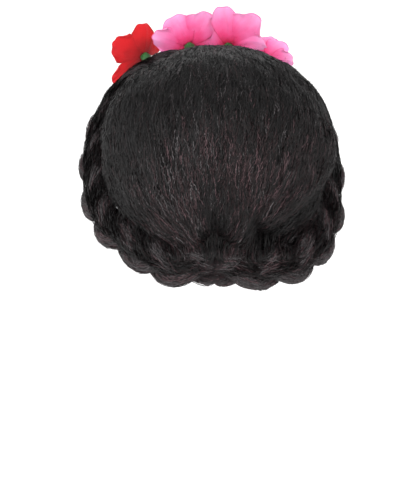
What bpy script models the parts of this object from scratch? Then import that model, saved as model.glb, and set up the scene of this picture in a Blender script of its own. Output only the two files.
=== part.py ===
import bmesh
import bpy
from math import acos, atan2, cos, exp, pi, radians, sin, sqrt
from mathutils import Vector

# Head inside the cap, measured from the point that the axes of the hair meet at
HEAD_HALF_WIDTH = 0.075
HEAD_FRONT = 0.092
HEAD_BACK = 0.095
HEAD_TOP = 0.085
HEAD_BOTTOM = 0.118
HEAD_ROUNDNESS = 2.3

# Puffed hair over the back of the head
DOME_HALF_WIDTH_LEFT = 0.108
DOME_HALF_WIDTH_RIGHT = 0.116
DOME_BACK = 0.124
DOME_FRONT = 0.100
DOME_TOP = 0.103
DOME_BOTTOM = 0.117
DOME_ROUNDNESS = 2.2

# Shells
CAP_THICKNESS = 0.0015
CAP_RIM = 0.0020
PIECE_GAP = 0.0003
SIDE_GAP = 0.0004
HAIR_FIT = 0.0010
THINNEST_HAIR = 0.0014
HAIRLINE_THICKNESS = 0.0040
HAIRLINE_ROUNDING = 0.5
HAIR_RISE_AT_BRAID = 0.0040
RING_TILT = radians(31.3)

# Braids
BRAID_HALF_WIDTH = 0.0225
BRAID_HALF_DEPTH = 0.0155
BRAID_SWING = 0.0122
BRAID_WEAVE = 0.0066
STRAND_LARGEST = 0.0130
STRAND_GAP = 0.0043
BRAID_SEAT = 0.0014
WALL_SLOPE = 2.4
BRAID_MEETING_GAP = 0.0008
STRAND_STATIONS = 60
STRAND_SIDES = 8
LEFT_BRAID_CYCLES = 3.1462
RIGHT_BRAID_CYCLES = 3.1636
END_LENGTH = 0.008
END_SHARE = 0.55
SOFTNESS = 4

# Route of a braid round the head
RING_HALF_WIDTH = 0.110
RING_DEPTH = 0.086
RING_DROP = 0.184

# Grid of the hair pieces
COLUMNS = 32
NAPE_CROWDING = 0.30
CROWN_ROWS = 12
EDGE_ROWS = 6

# Flowers
PETAL_LENGTH = 0.036
PETAL_THICKNESS = 0.0010
LAYER_STEP = 0.0014
HUB_RADIUS = 0.0062
INNER_HUB_RADIUS = 0.0042
INNER_SHARE = 0.72
INNER_LEAN = radians(20)
STEEPEST_LEAN = radians(80)
PETAL_RUFFLE = 0.0022
NOTCH_SHARE = 0.42
CALYX_RADIUS = 0.0050
CALYX_LENGTH = 0.0090
CALYX_SEAT_GAP = 0.0006
CENTER_RADIUS = 0.0026
CENTER_LENGTH = 0.0110

# Profile columns: along as a share of the length, out as a share of the radius
CENTER_PROFILE = (
    (0.0, 0.0),
    (0.0, 0.8),
    (0.4, 1.0),
    (0.8, 0.7),
    (1.0, 0.0),
)
CALYX_PROFILE = (
    (0.0, 0.0),
    (0.0, 1.0),
    (0.35, 0.92),
    (0.8, 0.5),
    (1.0, 0.3),
    (1.0, 0.0),
)
CENTER_SIDES = 7
CALYX_SIDES = 8

# How many divisions a petal layer has round and out
OUTER_DIVISIONS = (25, 3)
INNER_DIVISIONS = (20, 2)

# Rows of the crown hair near the braid, in distances back from the braid's centre line
ROW_AT_CENTER = 0.0002
CROWN_NEAR_SHARES = (0.40, 0.73, 0.96, 1.09, 1.29, 1.60)
EDGE_SHARES = (0, 0.14, 0.30, 0.48, 0.72, 0.97, 1)
CAP_ROWS = 9
LENGTH_STEPS = 90
BRAID_PHASE = 0.3

# Places on the braids that a calyx is seated by: share of the half ring to each side, steps on each face
SEAT_REACH_SHARE = 0.10
SEAT_STEPS = 8

HEART = Vector((0, 0, -HEAD_TOP))
AXIS = Vector((0, cos(RING_TILT), sin(RING_TILT)))
LIFT = Vector((0, -sin(RING_TILT), cos(RING_TILT)))
SIDE = Vector((1, 0, 0))

# Colours
HAIR_COLOR = (0.024, 0.020, 0.021)
CAP_COLOR = (0.020, 0.018, 0.018)
RED = (0.68, 0.018, 0.022)
PINK = (1.0, 0.16, 0.45)
INNER_PINK = (0.95, 0.09, 0.30)
INNER_RED = (0.55, 0.010, 0.016)
GREEN = (0.028, 0.20, 0.035)
CENTER_COLOR = (0.80, 0.52, 0.08)

# Route columns: across, back and up as shares of the ring sizes, size share, roll in degrees
LEFT_ROUTE = (
    (0.000, 1.000, -0.995, 0.94, 20),
    (0.390, 0.930, -0.990, 1.00, 22),
    (0.700, 0.700, -0.888, 1.00, 27),
    (0.945, 0.395, -0.755, 1.00, 33),
    (1.012, 0.140, -0.570, 1.00, 36),
    (1.010, -0.070, -0.398, 1.00, 35),
    (0.925, -0.235, -0.222, 0.98, 32),
    (0.765, -0.375, -0.100, 0.95, 26),
    (0.590, -0.470, -0.026, 0.90, 20),
    (0.410, -0.515, 0.020, 0.86, 15),
    (0.215, -0.540, 0.042, 0.83, 12),
    (0.000, -0.550, 0.050, 0.80, 10),
)
RIGHT_ROUTE = (
    (0.000, 1.000, -0.995, 0.94, 20),
    (0.385, 0.930, -1.015, 1.00, 22),
    (0.745, 0.680, -0.965, 1.00, 27),
    (0.940, 0.410, -0.812, 1.00, 33),
    (0.975, 0.180, -0.620, 1.00, 36),
    (0.955, -0.030, -0.424, 1.00, 35),
    (0.870, -0.220, -0.245, 0.98, 32),
    (0.710, -0.375, -0.109, 0.94, 26),
    (0.550, -0.470, -0.030, 0.89, 20),
    (0.385, -0.515, 0.016, 0.85, 15),
    (0.215, -0.540, 0.040, 0.82, 12),
    (0.000, -0.550, 0.050, 0.80, 10),
)

# Hairline columns: turn round the ring from the top in degrees, angle from the axis in degrees
HAIRLINE = (
    (0, 127),
    (35, 123),
    (62, 112),
    (88, 103),
    (110, 102),
    (135, 100),
    (158, 96),
    (180, 92),
)

# Crease columns: across and up at both ends as shares of the ring sizes, width share, depth shares
CREASE_WIDTH = 0.010
CREASE_DEPTH = 0.010
CREASES = (
    (0.02, -0.64, -0.01, -0.90, 1.0, 0.1, 1.0),
    (-0.26, -0.70, -0.40, -0.90, 0.8, 0.1, 0.8),
    (-1.07, -0.56, -0.42, -0.88, 0.8, 0.5, 0.6),
    (0.94, -0.56, 0.66, -0.88, 1.0, 0.1, 0.4),
)

# Flower columns: bearing from straight up towards the wearer's left in degrees, length share, lean in degrees
RED_PETALS = (
    (8, 0.88, 14),
    (72, 0.82, 22),
    (132, 0.94, 12),
    (205, 0.90, 40),
    (298, 0.74, 72),
)
PINK_LEFT_PETALS = (
    (32, 0.92, 36),
    (88, 0.85, 18),
    (158, 0.88, 42),
    (222, 0.82, 50),
    (310, 0.84, 46),
)
PINK_MIDDLE_PETALS = (
    (2, 0.92, 20),
    (66, 0.78, 74),
    (140, 0.80, 58),
    (214, 0.82, 52),
    (304, 1.00, 22),
)
PINK_RIGHT_PETALS = (
    (20, 0.68, 72),
    (100, 0.72, 72),
    (166, 0.84, 50),
    (240, 0.86, 38),
    (304, 0.76, 26),
)

# Flower columns: name, across, back and up as shares of the ring sizes, axis, petals, colours
FLOWERS = (
    ("red_flower", 0.596, -0.682, 0.055, (0.42, -0.80, 0.42), RED_PETALS, RED, INNER_RED),
    ("pink_left_flower", 0.212, -0.670, 0.108, (0.10, -0.90, 0.42), PINK_LEFT_PETALS, PINK, INNER_PINK),
    ("pink_middle_flower", -0.126, -0.652, 0.106, (-0.10, -0.90, 0.42), PINK_MIDDLE_PETALS, PINK, INNER_PINK),
    ("pink_right_flower", -0.425, -0.682, 0.029, (-0.36, -0.86, 0.36), PINK_RIGHT_PETALS, PINK, INNER_PINK),
)


def clear_scene():
    for item in list(bpy.data.objects):
        bpy.data.objects.remove(item, do_unlink=True)


def make_material(name, color, roughness, sheen=0.0):
    material = bpy.data.materials.new(name)
    material.use_nodes = True
    shader = material.node_tree.nodes["Principled BSDF"]
    shader.inputs["Base Color"].default_value = (*color, 1)
    shader.inputs["Roughness"].default_value = roughness
    shader.inputs["Metallic"].default_value = 0
    shader.inputs["Sheen Weight"].default_value = sheen
    material.diffuse_color = (*color, 1)
    return material


def make_object(name, shape, material):
    mesh = bpy.data.meshes.new(name)
    bmesh.ops.recalc_face_normals(shape, faces=shape.faces)
    if shape.calc_volume(signed=True) < 0:
        bmesh.ops.reverse_faces(shape, faces=shape.faces)
    shape.to_mesh(mesh)
    shape.free()
    mesh.materials.append(material)
    mesh.shade_smooth()
    mesh.set_sharp_from_angle(angle=radians(50))
    item = bpy.data.objects.new(name, mesh)
    bpy.context.scene.collection.objects.link(item)
    return item


def heading(turn, tip):
    return AXIS * cos(tip) + (LIFT * cos(turn) + SIDE * sin(turn)) * sin(tip)


def rounded_reach(way, half_width, back, top, roundness):
    total = abs(way.x / half_width) ** roundness
    total += abs(way.y / back) ** roundness
    total += abs(way.z / top) ** roundness
    return total ** (-1 / roundness)


def head_reach(way):
    depth = HEAD_FRONT if way.y < 0 else HEAD_BACK
    height = HEAD_TOP if way.z > 0 else HEAD_BOTTOM
    return rounded_reach(way, HEAD_HALF_WIDTH, depth, height, HEAD_ROUNDNESS)


def crease_depth(place):
    if place.y < 0:
        return 0
    depth = 0
    for across_a, up_a, across_b, up_b, width, depth_a, depth_b in CREASES:
        start = Vector((across_a * RING_HALF_WIDTH, up_a * RING_DROP))
        run = Vector((across_b * RING_HALF_WIDTH, up_b * RING_DROP)) - start
        here = Vector((place.x, place.z)) - start
        share = min(1, max(0, here.dot(run) / run.length_squared))
        away = (here - run * share).length / (CREASE_WIDTH * width)
        depth += CREASE_DEPTH * (depth_a + (depth_b - depth_a) * share) * exp(-away * away)
    return depth


def dome_reach(way):
    width = DOME_HALF_WIDTH_LEFT if way.x > 0 else DOME_HALF_WIDTH_RIGHT
    depth = DOME_FRONT if way.y < 0 else DOME_BACK
    height = DOME_TOP if way.z > 0 else DOME_BOTTOM
    reach = rounded_reach(way, width, depth, height, DOME_ROUNDNESS)
    return reach - crease_depth(HEART + way * reach)


def blend(rows, value):
    count = len(rows)
    if value <= rows[0][0]:
        return rows[0][1:]
    if value >= rows[-1][0]:
        return rows[-1][1:]
    index = 0
    while rows[index + 1][0] < value:
        index += 1
    low, high = rows[index], rows[index + 1]
    before, after = rows[max(0, index - 1)], rows[min(count - 1, index + 2)]
    span = high[0] - low[0]
    share = (value - low[0]) / span
    result = []
    for place in range(1, len(low)):
        slope_low = (high[place] - before[place]) / (high[0] - before[0]) * span
        slope_high = (after[place] - low[place]) / (after[0] - low[0]) * span
        square = share * share
        cube = square * share
        total = (2 * cube - 3 * square + 1) * low[place] + (cube - 2 * square + share) * slope_low
        total += (3 * square - 2 * cube) * high[place] + (cube - square) * slope_high
        result.append(total)
    return tuple(result)


def route_table(route):
    rows = []
    for across, back, up, size, roll in route:
        place = Vector((across * RING_HALF_WIDTH, back * RING_DEPTH, up * RING_DROP)) - HEART
        reach = place.length
        tip = acos(place.dot(AXIS) / reach)
        turn = atan2(place.x, place.dot(LIFT))
        rows.append((turn, tip, reach, size, radians(roll)))
    rows.sort()
    return rows


ROUTES = {1: route_table(LEFT_ROUTE), -1: route_table(RIGHT_ROUTE)}


def ring_at(turn):
    side = 1 if sin(turn) >= 0 else -1
    return blend(ROUTES[side], abs(turn))


def braid_point(turn, across, out):
    tip, reach = ring_at(turn)[:2]
    return HEART + heading(turn, tip - across / reach) * (reach + out)


def seat_height(turn, across):
    size, roll = ring_at(turn)[2:]
    wide = BRAID_HALF_WIDTH * size
    deep = BRAID_HALF_DEPTH * size
    square = (sin(roll) / wide) ** 2 + (cos(roll) / deep) ** 2
    cross = sin(roll) * cos(roll) * (1 / deep ** 2 - 1 / wide ** 2)
    edge = sqrt((wide * cos(roll)) ** 2 + (deep * sin(roll)) ** 2)
    held = min(edge, max(-edge, across))
    rest = held * held * ((cos(roll) / wide) ** 2 + (sin(roll) / deep) ** 2) - 1
    inner = max(0, (cross * held) ** 2 - square * rest)
    low = (-cross * held - sqrt(inner)) / square
    return low + max(0, abs(across) - edge) * WALL_SLOPE - BRAID_SEAT


def cap_reach(way):
    return head_reach(way) + CAP_THICKNESS


def hair_floor(way):
    return cap_reach(way) + HAIR_FIT


def crown_outer(turn, across):
    tip, reach = ring_at(turn)[:2]
    way = heading(turn, max(0, tip - across / reach))
    top = min(dome_reach(way), reach + seat_height(turn, across))
    return HEART + way * max(top, hair_floor(way) + THINNEST_HAIR)


def crown_inner(turn, across):
    tip, reach = ring_at(turn)[:2]
    way = heading(turn, max(0, tip - across / reach))
    return HEART + way * hair_floor(way)


def crown_rows(turn):
    tip, reach, size = ring_at(turn)[:3]
    near = [ROW_AT_CENTER] + [share * BRAID_HALF_WIDTH * size for share in CROWN_NEAR_SHARES]
    far = tip * reach
    rows = list(near)
    left = CROWN_ROWS - len(near) + 1
    for step in range(1, left + 1):
        share = step / left
        rows.append(near[-1] + (far - near[-1]) * share)
    return rows


def column_turn(share):
    swing = 2 * share - 1
    return pi + pi * ((1 - NAPE_CROWDING) * swing + NAPE_CROWDING * swing ** 3)


def wrapped(turn):
    return turn if turn <= pi else turn - 2 * pi


def thick_surface(columns, rows, outer_at, inner_at):
    shape = bmesh.new()
    bmesh.ops.create_grid(shape, x_segments=columns, y_segments=rows, size=0.5)
    along = shape.verts.layers.float.new("along")
    up = shape.verts.layers.float.new("up")
    for vert in shape.verts:
        vert[along] = round((vert.co.x + 0.5) * columns)
        vert[up] = round((vert.co.y + 0.5) * rows)
        vert.co = outer_at(int(vert[along]), int(vert[up]))
    bmesh.ops.remove_doubles(shape, verts=shape.verts, dist=0.00001)
    grown = bmesh.ops.extrude_face_region(shape, geom=shape.faces[:], use_keep_orig=True)
    for piece in grown["geom"]:
        if isinstance(piece, bmesh.types.BMVert):
            piece.co = inner_at(int(round(piece[along])), int(round(piece[up])))
    return shape


def build_crown(material):
    turns = [wrapped(column_turn(index / COLUMNS)) for index in range(COLUMNS)]
    turns.append(turns[0])
    rows = [crown_rows(turn) for turn in turns]

    def outer_at(column, row):
        return crown_outer(turns[column], rows[column][row])

    def inner_at(column, row):
        return crown_inner(turns[column], rows[column][row])

    return make_object("crown_hair", thick_surface(COLUMNS, CROWN_ROWS, outer_at, inner_at), material)


def hairline_tip(turn):
    rows = [(radians(row[0]), radians(row[1])) for row in HAIRLINE]
    return blend(rows, abs(turn))[0]


def edge_place(turn, share):
    tip, reach, size, roll = ring_at(turn)
    tip_far = hairline_tip(turn)
    tip_near = tip + ROW_AT_CENTER / reach
    way = heading(turn, tip_near + (tip_far - tip_near) * share)
    across = -(tip_near + (tip_far - tip_near) * share - tip) * reach
    return way, across


def edge_outer(turn, share):
    way, across = edge_place(turn, share)
    ring = ring_at(turn)
    reach = ring[1]
    floor = hair_floor(way)
    ring_way = heading(turn, ring[0])
    bed = max(0, reach + seat_height(turn, 0) - hair_floor(ring_way))
    thickness = (bed + HAIR_RISE_AT_BRAID) * (1 - share) + HAIRLINE_THICKNESS * share
    top = min(floor + thickness, reach + seat_height(turn, across))
    return HEART + way * max(top, floor + THINNEST_HAIR)


def edge_inner(turn, share):
    way = edge_place(turn, share)[0]
    return HEART + way * hair_floor(way)


def build_edge_hair(name, side, material):
    half = COLUMNS // 2
    turns = [side * abs(wrapped(column_turn(index / COLUMNS))) for index in range(half + 1)]

    def shifted(column, place):
        if column == 0 or column == half:
            place.x = side * SIDE_GAP
        return place

    def outer_at(column, row):
        if row == EDGE_ROWS:
            inner = inner_at(column, row)
            return inner + (edge_outer(turns[column], 1) - inner) * HAIRLINE_ROUNDING
        return shifted(column, edge_outer(turns[column], EDGE_SHARES[row]))

    def inner_at(column, row):
        return shifted(column, edge_inner(turns[column], EDGE_SHARES[row]))

    return make_object(name, thick_surface(half, EDGE_ROWS, outer_at, inner_at), material)


def build_cap(material):
    columns = COLUMNS // 2
    rows = CAP_ROWS
    turns = [wrapped(column_turn(index / columns)) for index in range(columns)]
    turns.append(turns[0])

    def way_at(column, row):
        turn = turns[column]
        tip_far = hairline_tip(turn) + CAP_RIM / HEAD_HALF_WIDTH
        return heading(turn, tip_far * (rows - row) / rows)

    def outer_at(column, row):
        way = way_at(column, row)
        return HEART + way * cap_reach(way)

    def inner_at(column, row):
        way = way_at(column, row)
        return HEART + way * head_reach(way)

    return make_object("cap", thick_surface(columns, rows, outer_at, inner_at), material)


def braid_lengths(side):
    lengths = [0]
    steps = LENGTH_STEPS
    before = braid_point(side * pi, 0, 0)
    for step in range(1, steps + 1):
        here = braid_point(side * pi * (1 - step / steps), 0, 0)
        lengths.append(lengths[-1] + (here - before).length)
        before = here
    return lengths


def strand_centers(cycle, size):
    centers = []
    for strand in range(3):
        angle = 2 * pi * (cycle + strand / 3) + BRAID_PHASE
        centers.append(Vector((BRAID_SWING * size * sin(angle), BRAID_WEAVE * size * sin(2 * angle))))
    return centers


def strand_outline(centers, strand, size):
    wide = BRAID_HALF_WIDTH * size
    deep = BRAID_HALF_DEPTH * size
    here = centers[strand]
    points = []
    for step in range(STRAND_SIDES):
        angle = 2 * pi * step / STRAND_SIDES
        ray = Vector((cos(angle), sin(angle)))
        square = (ray.x / wide) ** 2 + (ray.y / deep) ** 2
        cross = ray.x * here.x / wide ** 2 + ray.y * here.y / deep ** 2
        rest = (here.x / wide) ** 2 + (here.y / deep) ** 2 - 1
        reaches = [(-cross + sqrt(cross * cross - square * rest)) / square, STRAND_LARGEST * size]
        for other in range(3):
            if other != strand:
                apart = centers[other] - here
                facing = ray.dot(apart.normalized())
                if facing > 0:
                    reaches.append((apart.length - STRAND_GAP) / 2 / facing)
        total = sum(reach ** -SOFTNESS for reach in reaches)
        points.append(here + ray * total ** (-1 / SOFTNESS))
    return points


def station_turn(row):
    first_turn = pi - BRAID_MEETING_GAP / RING_DEPTH
    last_turn = BRAID_MEETING_GAP / RING_DEPTH
    return first_turn + (last_turn - first_turn) * row / STRAND_STATIONS


def strand_section(side, strand, turn, lengths):
    cycles = LEFT_BRAID_CYCLES if side > 0 else RIGHT_BRAID_CYCLES
    whole = lengths[-1]
    steps = len(lengths) - 1
    spot = (1 - turn / pi) * steps
    index = min(steps - 1, int(spot))
    length = lengths[index] + (lengths[index + 1] - lengths[index]) * (spot - index)
    near = min(length, whole - length) / END_LENGTH
    size, roll = ring_at(side * turn)[2:]
    centers = strand_centers(length / whole * cycles, size)
    places = []
    for point in strand_outline(centers, strand, size):
        if near < 1:
            rounding = END_SHARE + (1 - END_SHARE) * sqrt(max(0, 1 - (1 - near) ** 2))
            point = centers[strand] + (point - centers[strand]) * rounding
        across = point.x * cos(roll) + point.y * sin(roll)
        out = -point.x * sin(roll) + point.y * cos(roll)
        places.append(braid_point(side * turn, across, out))
    return places


def build_strand(name, side, strand, material):
    lengths = braid_lengths(side)
    sections = []
    for row in range(STRAND_STATIONS + 1):
        sections.append(strand_section(side, strand, station_turn(row), lengths))
    shape = bmesh.new()
    bmesh.ops.create_cone(
        shape,
        cap_ends=True,
        cap_tris=False,
        segments=STRAND_SIDES,
        radius1=1,
        radius2=1,
        depth=1,
    )
    rails = [edge for edge in shape.edges if abs(edge.verts[0].co.z - edge.verts[1].co.z) > 0.5]
    bmesh.ops.subdivide_edges(shape, edges=rails, cuts=STRAND_STATIONS - 1, use_grid_fill=False)
    for vert in shape.verts:
        column = round(atan2(vert.co.y, vert.co.x) / (2 * pi) * STRAND_SIDES) % STRAND_SIDES
        row = round((vert.co.z + 0.5) * STRAND_STATIONS)
        vert.co = sections[row][column]
    return make_object(name, shape, material)


def calyx_depth(radial):
    depth = 0
    for index in range(1, len(CALYX_PROFILE)):
        low, high = CALYX_PROFILE[index - 1], CALYX_PROFILE[index]
        out_low, out_high = low[1] * CALYX_RADIUS, high[1] * CALYX_RADIUS
        if out_low >= radial > out_high:
            share = (out_low - radial) / (out_low - out_high)
            depth = (low[0] + (high[0] - low[0]) * share) * CALYX_LENGTH
    return depth


def braid_patches(side, strand, turn):
    lengths = braid_lengths(side)
    rows = []
    for row in range(STRAND_STATIONS + 1):
        here = station_turn(row)
        if abs(here - turn) < pi * SEAT_REACH_SHARE:
            rows.append(strand_section(side, strand, here, lengths))
    for low, high in zip(rows[:-1], rows[1:]):
        for column in range(STRAND_SIDES):
            yield low[column - 1], low[column], high[column - 1], high[column]


def seated_hub(base, front):
    turn = atan2(base.x, (base - HEART).dot(LIFT))
    side = 1 if turn >= 0 else -1
    highest = -CALYX_LENGTH
    for strand in range(3):
        for first, second, third, fourth in braid_patches(side, strand, abs(turn)):
            for step in range((SEAT_STEPS + 1) ** 2):
                across = step % (SEAT_STEPS + 1) / SEAT_STEPS
                onward = step // (SEAT_STEPS + 1) / SEAT_STEPS
                place = first.lerp(second, across).lerp(third.lerp(fourth, across), onward)
                along = (place - base).dot(front)
                radial = (place - base - front * along).length
                if radial < CALYX_RADIUS:
                    highest = max(highest, along + calyx_depth(radial))
    return base + front * (highest + CALYX_SEAT_GAP + PETAL_THICKNESS + PIECE_GAP)


def petal_spread(petals, angle):
    count = len(petals)
    for index in range(count):
        low = radians(petals[index][0])
        high = radians(petals[(index + 1) % count][0])
        if index == count - 1:
            high += 2 * pi
        here = angle
        while here < low:
            here += 2 * pi
        if here <= high:
            share = (here - low) / (high - low)
            ease = share * share * (3 - 2 * share)
            notch = 1 - NOTCH_SHARE * sin(pi * share) ** 6
            length = petals[index][1] + (petals[(index + 1) % count][1] - petals[index][1]) * ease
            lean = petals[index][2] + (petals[(index + 1) % count][2] - petals[index][2]) * ease
            return length * notch, radians(lean), sin(2 * pi * share)
    return 1, 0, 0


def petal_layer(hub, axis, petals, hub_radius, length_share, extra_lean, divisions):
    columns, rows = divisions
    front = axis.normalized()
    up = (Vector((0, 0, 1)) - front * front.z).normalized()
    left = up.cross(front)
    shape = bmesh.new()
    bmesh.ops.create_circle(shape, cap_ends=True, cap_tris=True, segments=columns, radius=1)
    rings = [edge for edge in shape.edges if edge.is_boundary]
    for ring in range(rows):
        grown = bmesh.ops.extrude_edge_only(shape, edges=rings)
        rings = [piece for piece in grown["geom"] if isinstance(piece, bmesh.types.BMEdge)]
        rings = [edge for edge in rings if edge.is_boundary]
        for piece in grown["geom"]:
            if isinstance(piece, bmesh.types.BMVert):
                flat = piece.co.normalized()
                piece.co = flat * (ring + 2)
    for vert in shape.verts:
        ring = round(vert.co.length) - 1
        angle = atan2(vert.co.y, vert.co.x) % (2 * pi)
        length, lean, ruffle = petal_spread(petals, angle)
        lean = min(STEEPEST_LEAN, lean + extra_lean)
        share = max(0, ring) / rows
        run = PETAL_LENGTH * length * length_share * share
        radial = hub_radius * (0 if ring < 0 else 1) + run * cos(lean)
        rise = run * sin(lean) * share ** 0.4 + PETAL_RUFFLE * length_share * ruffle * share * share
        way = up * cos(angle) + left * sin(angle)
        vert.co = hub + way * radial + front * rise
    bmesh.ops.recalc_face_normals(shape, faces=shape.faces)
    nearest = min(shape.faces, key=lambda face: (face.calc_center_median() - hub).length)
    if nearest.normal.dot(front) < 0:
        bmesh.ops.reverse_faces(shape, faces=shape.faces)
    bmesh.ops.solidify(shape, geom=shape.faces[:], thickness=PETAL_THICKNESS)
    return shape


def turned_body(hub, axis, profile, sides):
    front = axis.normalized()
    shape = bmesh.new()
    side_way = front.orthogonal().normalized()
    spin_start = [shape.verts.new(hub + front * along + side_way * radius) for along, radius in profile]
    edges = [shape.edges.new((spin_start[index], spin_start[index + 1])) for index in range(len(profile) - 1)]
    bmesh.ops.spin(shape, geom=spin_start + edges, cent=hub, axis=front, steps=sides, angle=2 * pi)
    bmesh.ops.remove_doubles(shape, verts=shape.verts, dist=0.00001)
    return shape


def build_flower(row, materials):
    name, across, back, up, axis, petals, outer, inner = row
    base = Vector((across * RING_HALF_WIDTH, back * RING_DEPTH, up * RING_DROP))
    front = Vector(axis).normalized()
    hub = seated_hub(base, front)
    shape = petal_layer(hub, front, petals, HUB_RADIUS, 1, 0, OUTER_DIVISIONS)
    make_object(name + "_outer_petals", shape, materials[outer])
    inner_hub = hub + front * LAYER_STEP
    shape = petal_layer(inner_hub, front, petals, INNER_HUB_RADIUS, INNER_SHARE, INNER_LEAN, INNER_DIVISIONS)
    make_object(name + "_inner_petals", shape, materials[inner])
    profile = [(along * CENTER_LENGTH, out * CENTER_RADIUS) for along, out in CENTER_PROFILE]
    center_hub = inner_hub + front * PIECE_GAP
    shape = turned_body(center_hub, front, profile, CENTER_SIDES)
    make_object(name + "_center", shape, materials[CENTER_COLOR])
    profile = [(-along * CALYX_LENGTH, out * CALYX_RADIUS) for along, out in CALYX_PROFILE]
    calyx_hub = hub - front * (PETAL_THICKNESS + PIECE_GAP)
    make_object(name + "_calyx", turned_body(calyx_hub, front, profile, CALYX_SIDES), materials[GREEN])


def main():
    clear_scene()
    hair = make_material("hair", HAIR_COLOR, 0.5, 0.2)
    cap_cloth = make_material("cap_mesh", CAP_COLOR, 0.8)
    materials = {
        RED: make_material("red_petals", RED, 0.6),
        INNER_RED: make_material("red_inner_petals", INNER_RED, 0.6),
        PINK: make_material("pink_petals", PINK, 0.6),
        INNER_PINK: make_material("pink_inner_petals", INNER_PINK, 0.6),
        GREEN: make_material("calyx_green", GREEN, 0.45),
        CENTER_COLOR: make_material("flower_center", CENTER_COLOR, 0.6),
    }
    build_cap(cap_cloth)
    build_crown(hair)
    build_edge_hair("edge_hair_left", 1, hair)
    build_edge_hair("edge_hair_right", -1, hair)
    for strand in range(3):
        build_strand("braid_left_strand_%d" % (strand + 1), 1, strand, hair)
        build_strand("braid_right_strand_%d" % (strand + 1), -1, strand, hair)
    for row in FLOWERS:
        build_flower(row, materials)


main()
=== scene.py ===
from math import cos, pi, radians, sin

import bmesh
import bpy
import numpy as np
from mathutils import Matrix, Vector


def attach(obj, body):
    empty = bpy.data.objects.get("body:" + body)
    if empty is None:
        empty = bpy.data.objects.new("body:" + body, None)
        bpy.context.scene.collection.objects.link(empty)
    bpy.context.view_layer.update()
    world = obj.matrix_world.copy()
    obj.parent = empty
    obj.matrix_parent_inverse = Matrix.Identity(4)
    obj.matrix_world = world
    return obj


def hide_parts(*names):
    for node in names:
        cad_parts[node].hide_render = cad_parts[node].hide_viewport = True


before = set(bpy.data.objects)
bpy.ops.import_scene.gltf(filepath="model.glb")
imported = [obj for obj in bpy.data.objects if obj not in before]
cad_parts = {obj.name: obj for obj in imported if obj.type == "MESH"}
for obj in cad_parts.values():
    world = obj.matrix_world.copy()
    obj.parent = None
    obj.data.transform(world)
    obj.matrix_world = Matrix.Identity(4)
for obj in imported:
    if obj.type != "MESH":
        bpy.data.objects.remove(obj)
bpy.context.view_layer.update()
rng = np.random.default_rng(11)
print("frame loaded")

# Sizes that the wig is made to, in metres, with the middle of the head cap's crown at the origin
head = dict(
    halfWidth=0.075, front=0.092, back=0.095, top=0.085, bottom=0.118, roundness=2.3,
    cap=0.0015, fit=0.0010, thinnest=0.0014, hairline=0.0040, riseAtBraid=0.0040, rim=0.0020,
)
dome = dict(
    left=0.107, right=0.114, back=0.124, front=0.100, top=0.103, bottom=0.117, roundness=2.2,
    puff=0.0032, dip=0.0042, dipAcross=0.054, dipWidth=0.019, dipFrom=-0.03, dipOver=0.03,
)
ring = dict(halfWidth=0.110, back=0.086, drop=0.184, tilt=radians(31.3), seam=0.0002)
braid = dict(
    halfWidth=0.0225, halfDepth=0.0155, swing=0.0122, weave=0.0066,
    largest=0.0134, gap=0.0004, seat=0.0002, wallSlope=2.4, meeting=-0.0030, inset=0.0011, notch=0.19,
    softness=4.5, phase=0.3, endLength=0.008, endShare=0.70, cycles={1: 3.1462, -1: 3.1636},
)
# Across, back and up as shares of the ring's sizes, size share, roll in degrees
leftRoute = (
    (0.000, 1.000, -0.995, 0.94, 20), (0.390, 0.930, -0.990, 1.00, 22), (0.700, 0.700, -0.888, 1.00, 27),
    (0.935, 0.395, -0.755, 1.00, 33), (1.005, 0.140, -0.570, 1.00, 36), (0.990, -0.070, -0.398, 1.00, 35),
    (0.885, -0.235, -0.222, 0.97, 32), (0.738, -0.375, -0.102, 0.94, 26), (0.590, -0.470, -0.026, 0.90, 20),
    (0.410, -0.515, 0.020, 0.86, 15), (0.215, -0.540, 0.042, 0.83, 12), (0.000, -0.550, 0.050, 0.80, 10),
)
rightRoute = (
    (0.000, 1.000, -0.995, 0.94, 20), (0.385, 0.930, -1.015, 1.00, 22), (0.745, 0.680, -0.965, 1.00, 27),
    (0.940, 0.410, -0.812, 1.00, 33), (0.972, 0.180, -0.620, 1.00, 36), (0.942, -0.030, -0.424, 1.00, 35),
    (0.838, -0.220, -0.245, 0.97, 32), (0.690, -0.375, -0.110, 0.94, 26), (0.550, -0.470, -0.030, 0.89, 20),
    (0.385, -0.515, 0.016, 0.85, 15), (0.215, -0.540, 0.040, 0.82, 12), (0.000, -0.550, 0.050, 0.80, 10),
)
# Turn round the ring from the top and angle from its axis, in degrees
hairline = ((0, 127), (35, 123), (62, 112), (88, 103), (110, 102), (135, 100), (158, 96), (180, 92))
# Across and up at both ends as shares of the ring's sizes, width share, depth shares
creases = (
    (0.02, -0.64, -0.01, -0.90, 1.0, 0.1, 1.0), (-0.26, -0.70, -0.40, -0.90, 0.8, 0.1, 0.8),
    (-1.07, -0.56, -0.42, -0.88, 0.8, 0.5, 0.6), (0.94, -0.56, 0.66, -0.88, 1.0, 0.1, 0.4),
)

heart = np.array((0, 0, -head["top"]))
axisWay = np.array((0, cos(ring["tilt"]), sin(ring["tilt"])))
liftWay = np.array((0, -sin(ring["tilt"]), cos(ring["tilt"])))
sideWay = np.array((1.0, 0, 0))


def unit(vectors):
    return vectors / np.maximum(np.linalg.norm(vectors, axis=-1, keepdims=True), 1e-9)


def dot(first, second):
    return (first * second).sum(-1)


def flatOn(way, flow):
    # The part of a flow that runs along the hair's surface
    return unit(flow - way * dot(flow, way)[..., None])


def smooth(share):
    share = np.clip(share, 0, 1)
    return share * share * (3 - 2 * share)


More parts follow.
